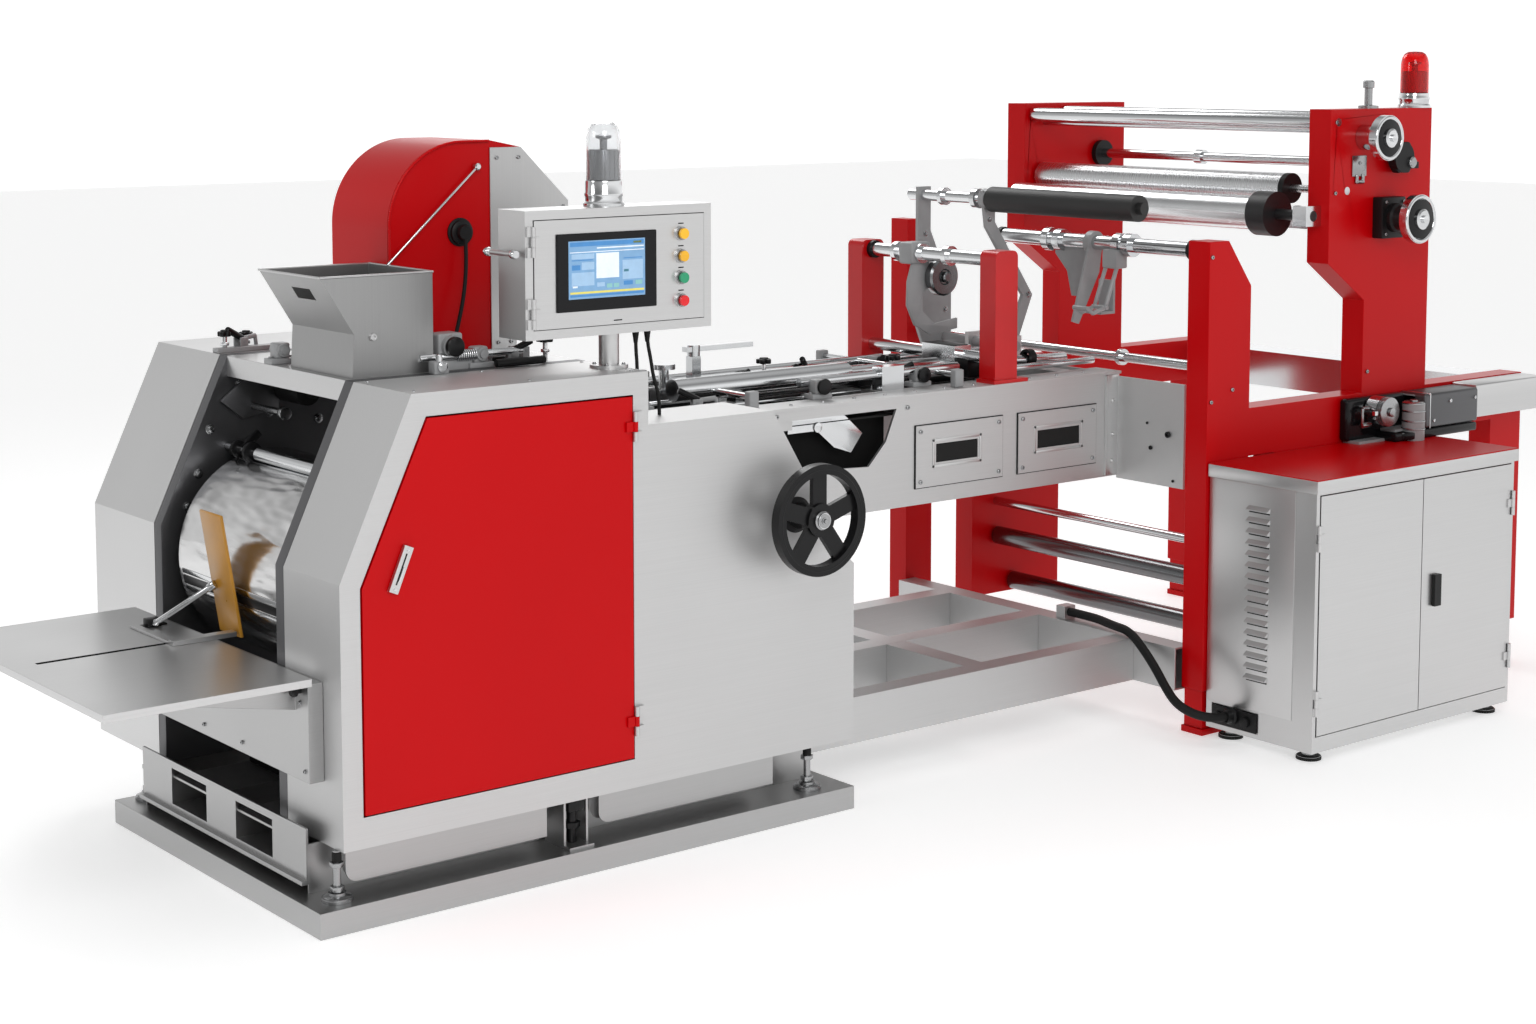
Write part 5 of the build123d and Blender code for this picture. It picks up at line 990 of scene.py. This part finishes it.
def web_guide_details():
    black = Piece("web_guide_black", black_gloss)
    black.block((3362, 3640), (-138, -104), (800, 928), 12, segments=4)
    black.block((3500, 3900), (-212, -112), (795, 822), 6, segments=3)
    black.pin((3560, -190, 800), (3560, -190, 822), 40, 4, 40)
    Piece("web_guide_cover", dark_stainless).block((3640, 3905), (-212, -108), (824, 928), 9, segments=4)
    seams = Piece("web_guide_seams", chrome)
    seams.block((3660, 3664), (-213.4, -106), (823, 929.4), 1)
    seams.cap_screw((3760, -212, 900), NEAR, 6)
    seams.cap_screw((3680, -212, 846), NEAR, 5)
    seams.cap_screw((3885, -212, 900), NEAR, 5)
    Piece("web_guide_tail", stainless).block((3912, 4276), (-200, -107), (832, 934), 5, segments=3)
    bright = Piece("web_guide_bright", turned_steel)
    bright.lathe((3590, -205, 905), UP, [(0, 0), (34.5, 0), (34.5, 3), (28, 6), (12, 6), (12, 11), (0, 11)],
        40)
    for z in (826, 850, 880):
        bright.lathe((3590, -205, z), UP, [(34.2, 0), (36.0, 1.5), (36.0, 5), (34.2, 6.5)], 40)
    bright.pin((3400, -160, 850), (3440, -160, 850), 9, 1, 24)
    bright.pin((3404, -160, 850), (3404, -160, 900), 5, 1, 18)
    bright.pin((3404, -160, 900), (3434, -160, 900), 5, 1, 18)
    disc = Piece("crank_face", turned_steel, "crank")
    for step in range(3):
        disc.lathe((3480, -184 - step * 7, 888), NEAR, [(0, 0), (41, 0), (44, 2), (44, 5), (41, 6.5),
            (0, 6.5)], 48)
    disc.pin((3480, -205, 888), (3480, -214, 888), 14, 2, 28)


def handwheel_hub():
    hub = Piece("handwheel_hub", turned_steel, "main_shaft")
    hub.lathe((1378, -72, 789), NEAR, [(0, 0), (24, 0), (24, 5), (18, 9), (18, 13), (0, 13)], 36)
    hub.bolt((1378, -85, 789), NEAR, 9)
    Piece("handwheel_rim", black_iron, "main_shaft").ring((1378, -62, 789), NEAR, 129, 12.6, 72, 1.15)
    seal = Piece("shaft_seal", black_plastic)
    Piece("table_slot_shade", shade_black).block((-393.5, -58.5), (596.4, 597.8), (552.5, 569.8), 0)
    seal.lathe((1378, 30, 789), NEAR, [(20.6, 0), (46, 0), (46, 4), (34, 8), (34, 16), (20.6, 16)], 44)


stand_details()
web_guide_details()
handwheel_hub()


for built in Piece.every:
    built.done()


# ---------------------------------------------------------------- floor and light
SKY_LEVELS = ((0.0, 1.0), (0.22, 1.0), (0.42, 0.55), (0.62, 0.25), (0.85, 0.6), (1.0, 0.9))


def stage():
    floor_mesh = bmesh.new()
    bmesh.ops.create_grid(floor_mesh, x_segments=1, y_segments=1, size=30)
    data = bpy.data.meshes.new("studio_floor")
    floor_mesh.to_mesh(data)
    floor_mesh.free()
    floor = bpy.data.objects.new("studio_floor", data)
    floor.location = (0, 0, -0.0005)
    pale = Finish("studio_floor", (0.82, 0.82, 0.82), 0.0, 0.6)
    pale.set(Emission_Color=(1, 1, 1, 1), Emission_Strength=0.42)
    data.materials.append(pale.material)
    bpy.context.scene.collection.objects.link(floor)
    world = bpy.data.worlds.new("studio_world")
    world.use_nodes = True
    tree = world.node_tree
    way = tree.nodes.new("ShaderNodeSeparateXYZ")
    tree.links.new(tree.nodes.new("ShaderNodeTexCoord").outputs["Generated"], way.inputs["Vector"])
    ramp = tree.nodes.new("ShaderNodeValToRGB")
    ramp.color_ramp.elements.remove(ramp.color_ramp.elements[1])
    for i, (rise, level) in enumerate(SKY_LEVELS):
        stop = ramp.color_ramp.elements[0] if i == 0 else ramp.color_ramp.elements.new(rise)
        stop.position = rise
        stop.color = (level, level, level, 1)
    tree.links.new(way.outputs["Z"], ramp.inputs["Fac"])
    tree.links.new(ramp.outputs["Color"], tree.nodes["Background"].inputs["Color"])
    front = tree.nodes.new("ShaderNodeMapRange")
    fill(front, {"From Min": -0.95, "From Max": 0.0, "To Min": 0.34, "To Max": 1.14})
    tree.links.new(way.outputs["X"], front.inputs["Value"])
    tree.links.new(front.outputs["Result"], tree.nodes["Background"].inputs["Strength"])
    bpy.context.scene.world = world
    for name, place, target, size, power in (("key_light", (-2.2, -5.0, 4.4), (0.6, 0.0, 0.8), 2.6, 125),
            ("front_light", (-4.8, 1.2, 3.6), (-0.6, 0.0, 0.8), 1.6, 40), ("far_light", (2.6, 3.4, 4.4),
            (1.5, 0.2, 0.9), 2.0, 60),):
        lamp = bpy.data.lights.new(name, "AREA")
        lamp.size = size
        lamp.energy = power
        lamp_object = bpy.data.objects.new(name, lamp)
        lamp_object.location = place
        aim = Vector(target) - Vector(place)
        lamp_object.rotation_euler = aim.to_track_quat("-Z", "Y").to_euler()
        bpy.context.scene.collection.objects.link(lamp_object)
    bpy.context.scene.view_settings.view_transform = "Standard"


stage()
